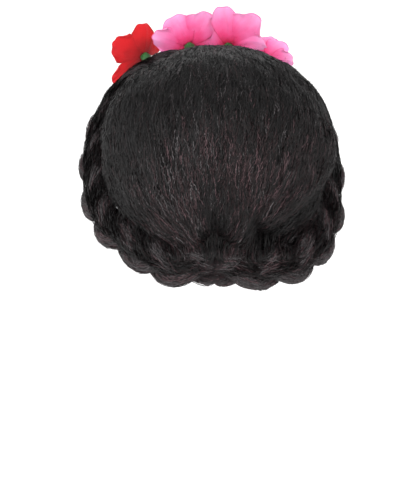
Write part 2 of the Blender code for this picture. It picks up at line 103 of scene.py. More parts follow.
def heading(turn, tip):
    turn, tip = np.broadcast_arrays(np.asarray(turn, float), np.asarray(tip, float))
    around = np.cos(turn)[..., None] * liftWay + np.sin(turn)[..., None] * sideWay
    return np.cos(tip)[..., None] * axisWay + np.sin(tip)[..., None] * around


def turnTip(way):
    turn = np.arctan2(way[..., 0], way @ liftWay)
    return turn, np.arccos(np.clip(way @ axisWay, -1, 1))


def roundedReach(way, width, depth, height, roundness):
    total = np.abs(way[..., 0] / width) ** roundness
    total = total + np.abs(way[..., 1] / depth) ** roundness
    total = total + np.abs(way[..., 2] / height) ** roundness
    return total ** (-1 / roundness)


def headReach(way):
    depth = np.where(way[..., 1] < 0, head["front"], head["back"])
    height = np.where(way[..., 2] > 0, head["top"], head["bottom"])
    return roundedReach(way, head["halfWidth"], depth, height, head["roundness"])


def hairFloor(way):
    return headReach(way) + head["cap"] + head["fit"]


def creaseRuns():
    for acrossA, upA, acrossB, upB, width, depthA, depthB in creases:
        start = np.array((acrossA * ring["halfWidth"], upA * ring["drop"]))
        run = np.array((acrossB * ring["halfWidth"], upB * ring["drop"])) - start
        yield start, run, 0.010 * width, 0.010 * depthA, 0.010 * depthB


def creaseShare(place, start, run):
    here = place[..., (0, 2)] - start
    share = np.clip(here @ run / (run @ run), 0, 1)
    return share, np.linalg.norm(here - share[..., None] * run, axis=-1)


def creaseDepth(place):
    depth = 0
    for start, run, width, depthA, depthB in creaseRuns():
        share, away = creaseShare(place, start, run)
        depth = depth + (depthA + (depthB - depthA) * share) * np.exp(-(away / width) ** 2)
    return np.where(place[..., 1] < 0, 0, depth)


def domeReach(way):
    width = np.where(way[..., 0] > 0, dome["left"], dome["right"])
    depth = np.where(way[..., 1] < 0, dome["front"], dome["back"])
    height = np.where(way[..., 2] > 0, dome["top"], dome["bottom"])
    reach = roundedReach(way, width, depth, height, dome["roundness"])
    place = heart + way * reach[..., None]
    dip = np.exp(-((place[..., 0] - dome["dipAcross"]) / dome["dipWidth"]) ** 2)
    dip = dip * smooth((place[..., 2] - dome["dipFrom"]) / dome["dipOver"])
    return reach - creaseDepth(place) - dip * dome["dip"]


def blendRows(rows, values):
    rows = np.asarray(rows, float)
    count = len(rows)
    index = np.clip(np.searchsorted(rows[:, 0], values) - 1, 0, count - 2)
    low, high = rows[index], rows[index + 1]
    before, after = rows[np.maximum(index - 1, 0)], rows[np.minimum(index + 2, count - 1)]
    span = (high[:, 0] - low[:, 0])[:, None]
    share = np.clip((values - low[:, 0]) / span[:, 0], 0, 1)[:, None]
    slopeLow = (high - before) / (high[:, :1] - before[:, :1]) * span
    slopeHigh = (after - low) / (after[:, :1] - low[:, :1]) * span
    square, cube = share ** 2, share ** 3
    total = (2 * cube - 3 * square + 1) * low + (cube - 2 * square + share) * slopeLow
    return (total + (3 * square - 2 * cube) * high + (cube - square) * slopeHigh)[:, 1:]


def routeTable(route):
    rows = []
    for across, back, up, size, roll in route:
        place = np.array((across * ring["halfWidth"], back * ring["back"], up * ring["drop"])) - heart
        reach = np.linalg.norm(place)
        turn = np.arctan2(place[0], place @ liftWay)
        rows.append((turn, np.arccos(place @ axisWay / reach), reach, size, radians(roll)))
    return sorted(rows)


fineTurns = np.linspace(0, pi, 721)
sideRoutes = {1: leftRoute, -1: rightRoute}
fineRing = {side: blendRows(routeTable(route), fineTurns) for side, route in sideRoutes.items()}
fineHairline = blendRows(np.radians(hairline), fineTurns)[:, 0]


def ringAt(turn):
    onLeft = np.sin(turn) >= 0
    size = np.abs(turn)
    found = []
    for column in range(4):
        left, right = [np.interp(size, fineTurns, fineRing[side][:, column]) for side in (1, -1)]
        found.append(np.where(onLeft, left, right))
    return found  # tip, reach, size, roll


def ringSpot(way):
    # Where a way lies by the ring: the last value is the distance from its middle towards the crown
    turn, tip = turnTip(way)
    ringTip, reach, size = ringAt(turn)[:3]
    return turn, tip, ringTip, reach, size, (ringTip - tip) * reach


def hairlineTip(turn):
    return np.interp(np.abs(turn), fineTurns, fineHairline)


def braidOval(turn, across, side):
    # Height of the lower (-1) or upper (1) side of a braid's oval, and how far across is past its edge
    size, roll = ringAt(turn)[2:]
    wide, deep = braid["halfWidth"] * size, braid["halfDepth"] * size
    square = (np.sin(roll) / wide) ** 2 + (np.cos(roll) / deep) ** 2
    cross = np.sin(roll) * np.cos(roll) * (1 / deep ** 2 - 1 / wide ** 2)
    farthest = np.sqrt((wide * np.cos(roll)) ** 2 + (deep * np.sin(roll)) ** 2)
    held = np.clip(across, -farthest, farthest)
    rest = held ** 2 * ((np.cos(roll) / wide) ** 2 + (np.sin(roll) / deep) ** 2) - 1
    height = (side * np.sqrt(np.maximum(0, (cross * held) ** 2 - square * rest)) - cross * held) / square
    return height, np.maximum(0, np.abs(across) - farthest)


def seatHeight(turn, across):
    height, past = braidOval(turn, across, -1)
    return height + past * braid["wallSlope"] - braid["seat"]


waveWays = unit(rng.normal(size=(9, 3))) * (2 * pi / rng.uniform(0.022, 0.055, (9, 1)))
wavePhases = rng.uniform(0, 2 * pi, 9)


def puff(place):
    return np.sin(place @ waveWays.T + wavePhases).mean(-1)


def puffedReach(way):
    raw = domeReach(way)
    return raw + puff(heart + way * raw[..., None]) * dome["puff"]


def hairTop(way):
    turn, tip, ringTip, reach, size, across = ringSpot(way)
    floor = hairFloor(way)
    seat = reach + seatHeight(turn, across)
    share = np.clip((tip - ringTip) / (hairlineTip(turn) - ringTip), 0, 1)
    bed = np.maximum(0, reach + seatHeight(turn, np.zeros_like(turn)) - hairFloor(heading(turn, ringTip)))
    edgeHair = floor + (bed + head["riseAtBraid"]) * (1 - share) + head["hairline"] * share
    top = np.minimum(np.where(across >= 0, puffedReach(way), edgeHair), seat)
    return np.maximum(top, floor + head["thinnest"])


# Hair over the braids
cover = dict(
    strands=4000, frizz=1100, stations=13, shortest=0.016, longest=0.030,
    slope=1.3, sunk=0.0022, soft=0.0030, dive=0.0030,
)


def overBraid(way, start, slope):
    # Just under a braid's upper side, sloping away past start towards its outer side
    turn, tip, ringTip, reach, size, across = ringSpot(way)
    height, past = braidOval(turn, across, 1)
    return reach + height - past * cover["slope"] - cover["sunk"] - np.maximum(0, start - across) * slope


def coverTop(way):
    # Puffed hair that runs over from the crown onto the inner side of a braid
    high, raw = overBraid(way, 0.006, 0.9), puffedReach(way)
    return raw + cover["soft"] * np.log(1 + np.exp(np.clip((high - raw) / cover["soft"], -30, 30)))


def braidTop(way):
    return overBraid(way, 0.005, 0.5)


def onHair(way, topAt=hairTop):
    return heart + way * topAt(way)[..., None]


# Finishes
class Wire:
    def __init__(self, finish, socket):
        self.finish = finish
        self.socket = socket

    def __add__(self, other):
        return self.finish.maths("ADD", self, other)

    def __radd__(self, other):
        return self.finish.maths("ADD", other, self)

    def __sub__(self, other):
        return self.finish.maths("SUBTRACT", self, other)

    def __rsub__(self, other):
        return self.finish.maths("SUBTRACT", other, self)

    def __mul__(self, other):
        return self.finish.maths("MULTIPLY", self, other)

    def __rmul__(self, other):
        return self.finish.maths("MULTIPLY", other, self)


class Finish:
    def __init__(self, name, fixed):
        self.material = bpy.data.materials.new(name)
        self.material.use_nodes = True
        self.nodes = self.material.node_tree.nodes
        self.links = self.material.node_tree.links
        self.shader = self.nodes["Principled BSDF"]
        for socket, value in fixed.items():
            self.shader.inputs[socket].default_value = value

    def node(self, kind, settings, sockets, output=0):
        made = self.nodes.new(kind)
        for key, value in settings.items():
            if key == "stops":
                stops = made.color_ramp.elements
                while len(stops) < len(value):
                    stops.new(0.5)
                for stop, (position, color) in zip(stops, value):
                    stop.position = position
                    stop.color = (*color, 1)
            else:
                setattr(made, key, value)
        for key, value in sockets.items():
            if isinstance(value, Wire):
                self.links.new(value.socket, made.inputs[key])
            else:
                made.inputs[key].default_value = value
        return Wire(self, made.outputs[output])

    def paint(self, socket, wire):
        self.links.new(wire.socket, self.shader.inputs[socket])

    def maths(self, kind, *values):
        return self.node("ShaderNodeMath", {"operation": kind}, dict(enumerate(values)))

    def sine(self, wire):
        return self.maths("SINE", wire)

    def ranged(self, *values):
        return self.node("ShaderNodeMapRange", {}, dict(enumerate(values)))

    def joined(self, *values):
        return self.node("ShaderNodeCombineXYZ", {}, dict(enumerate(values)))

    def mix(self, factor, first, second):
        first = first if isinstance(first, Wire) else (*first, 1)
        second = second if isinstance(second, Wire) else (*second, 1)
        return self.node("ShaderNodeMix", {"data_type": "RGBA"}, {0: factor, 6: first, 7: second}, 2)

    def ramp(self, factor, stops):
        return self.node("ShaderNodeValToRGB", {"stops": stops}, {0: factor})

    def noise(self, vector, scale, detail=3.0, roughness=0.5):
        sockets = {"Vector": vector, "Scale": scale, "Detail": detail, "Roughness": roughness}
        return self.node("ShaderNodeTexNoise", {}, sockets)

    def stretched(self, vector, scale):
        return self.node("ShaderNodeMapping", {}, {0: vector, 3: scale})

    def objectPlace(self):
        return self.node("ShaderNodeTexCoord", {}, {}, "Object")

    def uvPlace(self):
        return self.node("ShaderNodeUVMap", {"uv_map": "UVMap"}, {})

    def parts(self, vector):
        split = self.nodes.new("ShaderNodeSeparateXYZ")
        self.links.new(vector.socket, split.inputs[0])
        return [Wire(self, output) for output in split.outputs]

    def bump(self, height, distance):
        self.paint("Normal", self.node("ShaderNodeBump", {}, {"Height": height, "Distance": distance}))


hairTones = dict(
    black=(0.0013, 0.0011, 0.0012), dark=(0.0044, 0.0039, 0.0041), middle=(0.0118, 0.0104, 0.0109),
    light=(0.043, 0.0375, 0.0395), shine=(0.110, 0.099, 0.102),
    warmDark=(0.0086, 0.0040, 0.0044), warm=(0.027, 0.0132, 0.0148), warmLight=(0.088, 0.050, 0.056),
)


def strandFinish():
    # Tone runs across the strand map and the strand's length up it
    finish = Finish("hair_strands", {"Roughness": 0.5, "Specular IOR Level": 0.2})
    tone, along = finish.parts(finish.uvPlace())[:2]
    dashMap = finish.joined(tone * 310, along * 11)
    dash = (finish.noise(dashMap, 1.0, 1.0) - 0.5) * 0.9
    cool = finish.ramp(tone * 2 + dash, (
        (0.0, hairTones["black"]), (0.30, hairTones["dark"]), (0.58, hairTones["middle"]),
        (0.80, hairTones["light"]), (1.0, hairTones["shine"]),
    ))
    warm = finish.ramp(tone * 2 - 1 + dash, (
        (0.0, hairTones["black"]), (0.38, hairTones["warmDark"]), (0.68, hairTones["warm"]),
        (1.0, hairTones["warmLight"]),
    ))
    isWarm = finish.maths("GREATER_THAN", tone, 0.5)
    body = finish.mix(isWarm, cool, warm)
    # Painted shade: each strand darkens towards black near both ends, which mostly sink into the hair below
    ends = finish.maths("PINGPONG", along, 0.5)
    shade = finish.ranged(ends, 0.0, 0.16, 0.45, 1.0)
    finish.paint("Base Color", finish.mix(shade, hairTones["black"], body))
    return finish.material


def shellFinish(name, streaks, patch, shades):
    # Locks under the strands: fine streaks along the hair, in the piece's own map
    finish = Finish(name, {"Roughness": 0.7, "Specular IOR Level": 0.12})
    fine = finish.noise(finish.stretched(finish.uvPlace(), streaks), 1.0, 4.0, 0.65)
    broad = finish.noise(finish.objectPlace(), patch, 2.0)
    body = finish.ramp(fine, list(zip((0.30, 0.48, 0.62, 0.80), [hairTones[shade] for shade in shades])))
    finish.paint("Base Color", finish.mix(broad * 0.5, body, hairTones[shades[1]]))
    finish.bump(fine, 0.0012)
    return finish.material


def clothFinish(name, base, deep, tip, stain):
    # Silk petal: deep at the base, paler at the rim, veins fanned along it and a fine weave
    finish = Finish(name, {
        "Roughness": 0.62, "Specular IOR Level": 0.25, "Sheen Weight": 0.15, "Sheen Roughness": 0.4,
        "Subsurface Weight": 0.12, "Subsurface Scale": 0.004, "Subsurface Radius": (1.0, 0.35, 0.35),
    })
    across, along = finish.parts(finish.uvPlace())[:2]
    veinMap = finish.joined(across * 26, along * 2.2)
    veins = finish.noise(veinMap, 1.0, 3.0, 0.6)
    cloud = finish.noise(finish.objectPlace(), 95, 3.0)
    place = along + (cloud - 0.5) * 0.40 + (veins - 0.5) * 0.09
    color = finish.ramp(place, ((0.0, deep), (0.22, stain), (0.52, base), (0.95, tip)))
    side = finish.maths("ABSOLUTE", across * 2 - 1)
    outline = finish.maths("MAXIMUM", side, along)
    hem = finish.ranged(outline, 0.955, 0.985, 0.0, 0.55)
    finish.paint("Base Color", finish.mix(hem, color, stain))
    x, y, z = finish.parts(finish.objectPlace())
    weave = finish.sine((x + z) * 9000) * finish.sine((y - x) * 9000)
    finish.paint("Roughness", 0.52 + veins * 0.2)
    finish.bump(weave * 0.10 + veins * 0.9, 0.0007)
    return finish.material


def netFinish():
    # Stretch net of the head cap
    finish = Finish("cap_net", {"Roughness": 0.8, "Specular IOR Level": 0.2, "Sheen Weight": 0.2})
    across, along = finish.parts(finish.uvPlace())[:2]
    first = finish.sine((across + along) * 2 * pi * 90)
    second = finish.sine((across - along) * 2 * pi * 90)
    net = finish.maths("MAXIMUM", first, second)
    thread = finish.ranged(net, 0.2, 0.85, 0.0, 1.0)
    finish.paint("Base Color", finish.mix(thread, (0.0035, 0.003, 0.003), (0.030, 0.026, 0.025)))
    finish.bump(thread, 0.0005)
    return finish.material


def tapeFinish(name, ribs, low, high):
    # Ribbed sewing tape and elastic
    finish = Finish(name, {"Roughness": 0.7, "Specular IOR Level": 0.3, "Sheen Weight": 0.15})
    along = finish.parts(finish.uvPlace())[1]
    rib = finish.sine(along * 2 * pi * ribs) * 0.5 + 0.5
    fuzz = finish.noise(finish.objectPlace(), 900, 2.0)
    finish.paint("Base Color", finish.mix(rib * fuzz * 1.4, low, high))
    finish.bump(rib + fuzz * 0.5, 0.0004)
    return finish.material


def plainFinish(name, low, high, scale, roughness, relief, sheen=0.0):
    finish = Finish(name, {"Roughness": roughness, "Specular IOR Level": 0.45, "Sheen Weight": sheen})
    grain = finish.noise(finish.objectPlace(), scale, 4.0, 0.6)
    finish.paint("Base Color", finish.ramp(grain, ((0.3, low), (0.7, high))))
    finish.bump(grain, relief)
    return finish.material


finishes = dict(
    strands=strandFinish(),
    crownShell=shellFinish("crown_locks", (430, 26, 1), 38, ("black", "dark", "middle", "light")),
    # Painted light: the braid locks use lighter tones than the crown's, which lifts the shade in the braids'
    # grooves
    braidShell=shellFinish("braid_locks", (60, 70, 1), 38, ("middle", "middle", "warm", "light")),
    net=netFinish(),
    weft=tapeFinish("weft_tape", 900, (0.004, 0.0035, 0.0035), (0.032, 0.028, 0.027)),
    elastic=tapeFinish("rim_elastic", 10, (0.006, 0.005, 0.005), (0.045, 0.040, 0.038)),
    green=plainFinish("calyx_green", (0.006, 0.050, 0.010), (0.030, 0.170, 0.040), 420, 0.5, 0.0003),
    pollen=plainFinish("flower_center", (0.62, 0.33, 0.03), (0.92, 0.66, 0.14), 1500, 0.7, 0.0003, 0.3),
    stalk=plainFinish("stamen_stalk", (0.75, 0.30, 0.16), (0.92, 0.55, 0.30), 700, 0.5, 0.0002),
)
# Petal colors at the body, base and rim, and the stain between
petalColors = {
    "red_petals": (
        (0.70, 0.010, 0.016), (0.28, 0.004, 0.007), (0.78, 0.016, 0.023), (0.42, 0.005, 0.009),
    ),
    "red_inner_petals": (
        (0.50, 0.012, 0.016), (0.20, 0.004, 0.006), (0.62, 0.022, 0.026), (0.34, 0.007, 0.010),
    ),
    "pink_petals": (
        (1.0, 0.17, 0.43), (0.62, 0.010, 0.070), (1.0, 0.40, 0.72), (0.93, 0.055, 0.22),
    ),
    "pink_inner_petals": (
        (0.96, 0.085, 0.28), (0.50, 0.006, 0.045), (1.0, 0.22, 0.55), (0.80, 0.030, 0.13),
    ),
}
for name, colors in petalColors.items():
    finishes[name] = clothFinish(name, *colors)
print("finishes made")


def addPiece(name, mesh, material, nodes=()):
    mesh.materials.clear()
    for one in material if isinstance(material, list) else [material]:
        mesh.materials.append(one)
    piece = bpy.data.objects.new(name, mesh)
    bpy.context.scene.collection.objects.link(piece)
    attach(piece, "root")
    if nodes:
        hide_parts(*nodes)
    return piece


def shapeMesh(name, shape):
    mesh = bpy.data.meshes.new(name)
    shape.to_mesh(mesh)
    shape.free()
    mesh.shade_smooth()
    return mesh


def faceOut(shape):
    bmesh.ops.recalc_face_normals(shape, faces=shape.faces)
    if shape.calc_volume(signed=True) < 0:
        bmesh.ops.reverse_faces(shape, faces=shape.faces)


def gridShell(columns, rows, placesAt, uvAt=None, uvSize=(1, 1)):
    # placesAt(column, row, isOuter) gives the places of a whole grid at once
    shape = bmesh.new()
    bmesh.ops.create_grid(shape, x_segments=columns, y_segments=rows, size=0.5, calc_uvs=False)
    uvLayer = shape.loops.layers.uv.new("UVMap")
    shape.verts.ensure_lookup_table()
    flat = np.array([vert.co[:2] for vert in shape.verts]) + 0.5
    column, row = np.rint(flat[:, 0] * columns).astype(int), np.rint(flat[:, 1] * rows).astype(int)
    for face in shape.faces:
        for loop in face.loops:
            loop[uvLayer].uv = ((loop.vert.co.x + 0.5) * uvSize[0], (loop.vert.co.y + 0.5) * uvSize[1])
    outerPlaces, innerPlaces = placesAt(column, row, True), placesAt(column, row, False)
    if uvAt:
        mapped = uvAt(outerPlaces)
        for face in shape.faces:
            for loop in face.loops:
                loop[uvLayer].uv = mapped[loop.vert.index]
    stamp = shape.verts.layers.int.new("stamp")
    for vert in shape.verts:
        vert[stamp] = vert.index
    grown = bmesh.ops.extrude_face_region(shape, geom=shape.faces[:], use_keep_orig=True)
    for vert in shape.verts:
        vert.co = outerPlaces[vert[stamp]]
    for piece in grown["geom"]:
        if isinstance(piece, bmesh.types.BMVert):
            piece.co = innerPlaces[piece[stamp]]
    bmesh.ops.remove_doubles(shape, verts=shape.verts, dist=0.000005)
    faceOut(shape)
    return shape


# Crown hair, swept from under the flowers down to the pinch at the nape
crown = dict(
    columns=120, rows=44, strands=13500, stations=13, shortest=0.014, longest=0.028, width=0.00058,
    wave=0.0060, crimp=0.00048, lift=0.0010, sunk=0.0006, source=(0, -0.40, 0.92), pinch=(0, 0.72, -0.69),
)
sourceWay = unit(np.array(crown["source"]))
pinchWay = unit(np.array(crown["pinch"]))
pinchPlace = heart + pinchWay * domeReach(pinchWay[None])[0]


def crownPlaces(column, row, isOuter):
    share = column / crown["columns"]
    swing = 2 * share - 1
    turn = pi + pi * (0.7 * swing + 0.3 * swing ** 3)
    turn = np.where(turn > pi, turn - 2 * pi, turn)
    turn = np.where((column == 0) | (column == crown["columns"]), 0.0, turn)
    tip, reach = ringAt(turn)[:2]
    near = 1 - row / crown["rows"]
    along = np.where(row == 0, ring["seam"] / reach, 0)
    way = heading(turn, (tip - along) * np.where(near > 0, near ** 1.25, 0))
    if not isOuter:
        return heart + way * hairFloor(way)[..., None]
    return onHair(way)


def flowMap(place):
    way = unit(place - heart)
    backWay = unit(np.cross(sideWay, sourceWay))
    turn = np.arctan2(way @ sideWay, -(way @ backWay))
    return np.stack((turn / (2 * pi) + 0.5, np.arccos(np.clip(way @ sourceWay, -1, 1)) / pi), -1)


def buildCrownShell():
    mesh = shapeMesh("crown_hair_form", gridShell(crown["columns"], crown["rows"], crownPlaces, flowMap))
    addPiece("crown_hair_form", mesh, finishes["crownShell"], ["crown_hair"])


buildCrownShell()
print("crown form made")


def ribbons(name, lines, outward, width, roll, tone):
    # Many flat strands in one mesh: lines are places in order along each strand
    count, stations = lines.shape[:2]
    tangent = unit(np.gradient(lines, axis=1))
    across = unit(np.cross(tangent, outward))
    raised = np.cross(across, tangent)
    side = across * np.cos(roll)[..., None] + raised * np.sin(roll)[..., None]
    half = side * (width / 2)[..., None]
    places = np.stack((lines - half, lines + half), 2)
    index = np.arange(count * stations * 2).reshape(count, stations, 2)
    near, far = index[:, :-1], index[:, 1:]
    faces = np.stack((near[..., 0], near[..., 1], far[..., 1], far[..., 0]), -1).reshape(-1, 4)
    mesh = bpy.data.meshes.new(name)
    mesh.vertices.add(count * stations * 2)
    mesh.vertices.foreach_set("co", places.astype(np.float32).ravel())
    mesh.loops.add(faces.size)
    mesh.loops.foreach_set("vertex_index", faces.astype(np.int32).ravel())
    mesh.polygons.add(len(faces))
    mesh.polygons.foreach_set("loop_start", np.arange(0, faces.size, 4, dtype=np.int32))
    mesh.update(calc_edges=True)
    toneMap = np.broadcast_to(tone[:, None, None], (count, stations, 2)) + np.array((-0.0004, 0.0004))
    alongMap = np.broadcast_to(np.linspace(0, 1, stations)[None, :, None], (count, stations, 2))
    mapped = np.stack((toneMap, alongMap), -1).reshape(-1, 2)[faces.ravel()]
    mesh.uv_layers.new(name="UVMap").data.foreach_set("uv", mapped.astype(np.float32).ravel())
    mesh.shade_smooth()
    addPiece(name, mesh, finishes["strands"])


def spread(low, high, count):
    # One random value for each strand
    return rng.uniform(low, high, (count, 1))


def stationShares(stations):
    return np.linspace(0, 1, stations)[None, :]


def endShares(share):
    return np.minimum(share, 1 - share)


def tapered(width, share, low, high, start, run, count):
    # Widths of strands that narrow to the start share at both ends
    return width * spread(low, high, count) * (start + (1 - start) * smooth(endShares(share) / run))


def rolls(share, reach, count, isTurning=False):
    # How far each strand is rolled about its line, with a slow turn along it where wanted
    roll = rng.normal(0, reach, (count, 1)) + 0 * share
    return roll + 0.25 * np.sin(share * spread(8, 20, count)) if isTurning else roll


def crimped(lines, outward, lengths, wave, size):
    # Bends straight strands into the tight wave of the hair
    count, stations = lines.shape[:2]
    tangent = unit(np.gradient(lines, axis=1))
    across = unit(np.cross(tangent, outward))
    run = stationShares(stations) * lengths[:, None]
    pace = 2 * pi / (wave * spread(0.8, 1.3, count))
    angle = run * pace + spread(0, 2 * pi, count)
    second = run * pace * 0.37 + spread(0, 2 * pi, count)
    reach = size * spread(0.5, 1.4, count)
    sway = (np.sin(angle) + 0.8 * np.sin(second)) * reach
    return lines + across * sway[..., None] + outward * (np.cos(angle) * reach * 0.5)[..., None]


def toned(light, warmth):
    # Cool tones fill the lower half of the strand map and warm ones the upper half
    isWarm = rng.uniform(size=len(light)) < warmth
    return light * 0.496 + np.where(isWarm, 0.502, 0.0)


def strandTones(count, warmth, extra=0.0, most=0.92):
    light = np.clip(rng.beta(1.35, 1.5, count) + extra, 0.02, most)
    return toned(light, warmth), light


# Where crown hair gathers to the pinch, follows the creases and turns aside below the pinch
gather = dict(
    pull=1.4, start=-0.085, run=0.060, nearPull=1.2, near=0.045, crease=1.3, creaseReach=0.020,
    lowStart=0.004, lowRun=0.022, lowDrop=0.3,
)
# Warmth of crown hair by place, and the painted shade that darkens it in the creases, away from the middle
# and on the wearer's left
warmthAndPaintedShade = dict(
    warm=0.34, rightWarm=0.34, right=0.05, leastWarm=0.12, low=-0.01, fade=0.08,
    edge=0.5, edgeWidth=1.9, crease=0.75, creaseDepth=0.009, wide=0.085, high=0.060, middle=-0.118,
    bright=1.07, dim=0.58, dimStart=0.45, dimRun=0.85, leftDim=0.42, left=0.03, leftRun=0.05,
)


def crownFlow(place, way):
    flow = np.broadcast_to(-sourceWay, place.shape).copy()
    aim = pinchPlace - place
    apart = np.linalg.norm(aim, axis=-1)
    pull = gather["pull"] * smooth((gather["start"] - place[..., 2]) / gather["run"])
    pull = pull + gather["nearPull"] * np.exp(-(apart / gather["near"]) ** 2)
    flow += unit(aim) * pull[..., None]
    for start, run, width, depthA, depthB in creaseRuns():
        away = creaseShare(place, start, run)[1]
        along = np.array((run[0], 0, run[1])) / np.linalg.norm(run)
        pull = gather["crease"] * np.exp(-(away / gather["creaseReach"]) ** 2) * (place[..., 1] > 0)
        flow += along * pull[..., None]
    low = smooth((pinchPlace[2] + gather["lowStart"] - place[..., 2]) / gather["lowRun"])
    sweep = np.stack((np.sign(place[..., 0]), 0 * low, 0 * low - gather["lowDrop"]), -1)
    flow = flow * (1 - low)[..., None] + sweep * low[..., None]
    return flatOn(way, flow)


def combed(ways, lengths, stations, flowAt, skew, topAt=hairTop):
    lines = np.zeros((len(ways), stations, 3))
    outward = np.zeros_like(lines)
    step = (lengths / (stations - 1))[:, None]
    place = onHair(ways, topAt)
    for station in range(stations):
        way = unit(place - heart)
        lines[:, station], outward[:, station] = place, way
        run = flowAt(place, way)
        run = unit(run + np.cross(way, run) * skew[:, None])
        place = onHair(unit(place + run * step - heart), topAt)
    return lines, outward


def sphereWays(count):
    return unit(rng.normal(size=(count, 3)))


def crownTones(middle):
    # Warmer towards the wearer's right and lower down; painted shade makes it darker in the creases, near the
    # top and the sides away from the middle, and on the wearer's left
    across, up = middle[:, 0], middle[:, 2]
    warmth = warmthAndPaintedShade["warm"] + warmthAndPaintedShade["rightWarm"] * smooth((warmthAndPaintedShade["right"] - across) / warmthAndPaintedShade["fade"])
    warmth = warmthAndPaintedShade["leastWarm"] + warmth * smooth((warmthAndPaintedShade["low"] - up) / warmthAndPaintedShade["fade"])
    light = strandTones(len(middle), 0)[1]
    # Painted shade: strands in and beside the creases are darkened
    depth = creaseDepth(middle)
    for start, run, width, depthA, depthB in creaseRuns():
        away = creaseShare(middle, start, run)[1] / (width * warmthAndPaintedShade["edgeWidth"])
        depth = depth + warmthAndPaintedShade["edge"] * np.exp(-away ** 2) * depthB
    shade = 1 - warmthAndPaintedShade["crease"] * np.clip(depth / warmthAndPaintedShade["creaseDepth"], 0, 1)
    # Painted light and shade: brightest at the middle, darker towards the sides and top and on the wearer's
    # left
    aside = np.hypot(across / warmthAndPaintedShade["wide"], (up - warmthAndPaintedShade["middle"]) / warmthAndPaintedShade["high"])
    shade = shade * (warmthAndPaintedShade["bright"] - warmthAndPaintedShade["dim"] * smooth((aside - warmthAndPaintedShade["dimStart"]) / warmthAndPaintedShade["dimRun"]))
    shade = shade * (1 - warmthAndPaintedShade["leftDim"] * smooth((across - warmthAndPaintedShade["left"]) / warmthAndPaintedShade["leftRun"]))
    return toned(light ** (shade ** -1.5), warmth)


def buildCrownStrands():
    ways = sphereWays(crown["strands"] * 4)
    size, across = ringSpot(ways)[4:]
    ways = ways[across > braid["halfWidth"] * size * 0.55][: crown["strands"]]
    count = len(ways)
    lengths = rng.uniform(crown["shortest"], crown["longest"], count)
    lines, outward = combed(ways, lengths, crown["stations"], crownFlow, rng.normal(0, 0.17, count))
    share = stationShares(crown["stations"])
    lift = crown["lift"] * spread(0.15, 1.0, count) ** 1.5
    tipRise = np.where(spread(0, 1, count) < 0.12, spread(0.0004, 0.0022, count), -crown["sunk"])
    rise = -crown["sunk"] + (lift + crown["sunk"]) * smooth(share / 0.2)
    rise = rise + (tipRise - lift) * smooth((share - 0.72) / 0.28)
    lines = crimped(lines + outward * rise[..., None], outward, lengths, crown["wave"], crown["crimp"])
    middle = lines[:, crown["stations"] // 2]
    tone = crownTones(middle)
    width = tapered(crown["width"], share, 0.7, 1.35, 0.35, 0.12, count)
    roll = rolls(share, 0.45, count, True)
    zone = np.where(middle[:, 0] > 0.036, 0, np.where(middle[:, 0] > -0.036, 1, 2))
    for number, side in enumerate(("left", "middle", "right")):
        pick = zone == number
        ribbons("crown_strands_" + side, lines[pick], outward[pick], width[pick], roll[pick], tone[pick])


def buildCoverStrands(name, count, firstTurn, near, far, flowAt, skew, topAt):
    turn = rng.uniform(firstTurn, pi, count) * np.where(rng.uniform(size=count) < 0.5, -1, 1)
    ringTip, reach = ringAt(turn)[:2]
    across = rng.uniform(near, far, count)
    ways = heading(turn, ringTip - across / reach)
    lengths = rng.uniform(cover["shortest"], cover["longest"], count)
    lines, outward = combed(ways, lengths, cover["stations"], flowAt, rng.normal(0, skew, count), topAt)
    share = stationShares(cover["stations"])
    rise = spread(-0.0006, 0.0007, count) - cover["dive"] * (1 - smooth(endShares(share) / 0.22))
    lines = crimped(lines + outward * rise[..., None], outward, lengths, crown["wave"], crown["crimp"])
    width = tapered(crown["width"], share, 0.6, 1.2, 0.3, 0.15, count)
    roll = rolls(share, 0.45, count)
    ribbons(name, lines, outward, width, roll, crownTones(lines[:, cover["stations"] // 2]))


def upRing(turn, tip):
    # Along the ring, up from the nape to the top
    step = 0.01 * np.sign(turn)
    return unit(heading(turn - step, tip) - heading(turn + step, tip))


def braidFlow(place, way):
    return flatOn(way, upRing(*turnTip(way)))


buildCrownStrands()
# Hair that bridges the groove between crown and braid, and frizz over the braids
buildCoverStrands("bridging_strands", cover["strands"], 0.75, 0.004, 0.034, crownFlow, 0.20, coverTop)
buildCoverStrands("braid_frizz", cover["frizz"], 0.60, -0.003, 0.012, braidFlow, 0.45, braidTop)
print("crown strands made")


# Hair in front of the braids, combed back from the hairline
edge = dict(
    columns=72, rows=14, strands=1300, stations=12, shortest=0.014, longest=0.030,
    width=0.00050, wave=0.0060, crimp=0.00028, rounded=0.2,
)


def edgePlaces(column, row, side, isOuter):
    turn = side * (pi - pi * column / edge["columns"])
    share = row / edge["rows"]
    ringTip, reach = ringAt(turn)[:2]
    tipNear = ringTip + ring["seam"] / reach
    way = heading(turn, tipNear + (hairlineTip(turn) - tipNear) * share)
    reach = floor = hairFloor(way)
    if isOuter:
        atHairline = np.clip((share - 1 + edge["rounded"]) / edge["rounded"], 0, 1)
        reach = floor + (hairTop(way) - floor) * np.sqrt(np.clip(1 - atHairline ** 2, 0.04, 1))
    place = heart + way * reach[..., None]
    ends = (column == 0) | (column == edge["columns"])
    place[..., 0] = np.where(ends, side * ring["seam"], place[..., 0])
    return place


def edgeFlow(place, way):
    turn, tip = turnTip(way)
    inward = unit(heading(turn, tip - 0.01) - heading(turn, tip + 0.01))
    slant = 0.35 + 0.9 * smooth((np.abs(turn) - 1.9) / 0.9)
    return flatOn(way, inward - upRing(turn, tip) * slant[..., None])


def turnTipMap(place):
    turn, tip = turnTip(unit(place - heart))
    return np.stack((turn / 2, tip), -1)


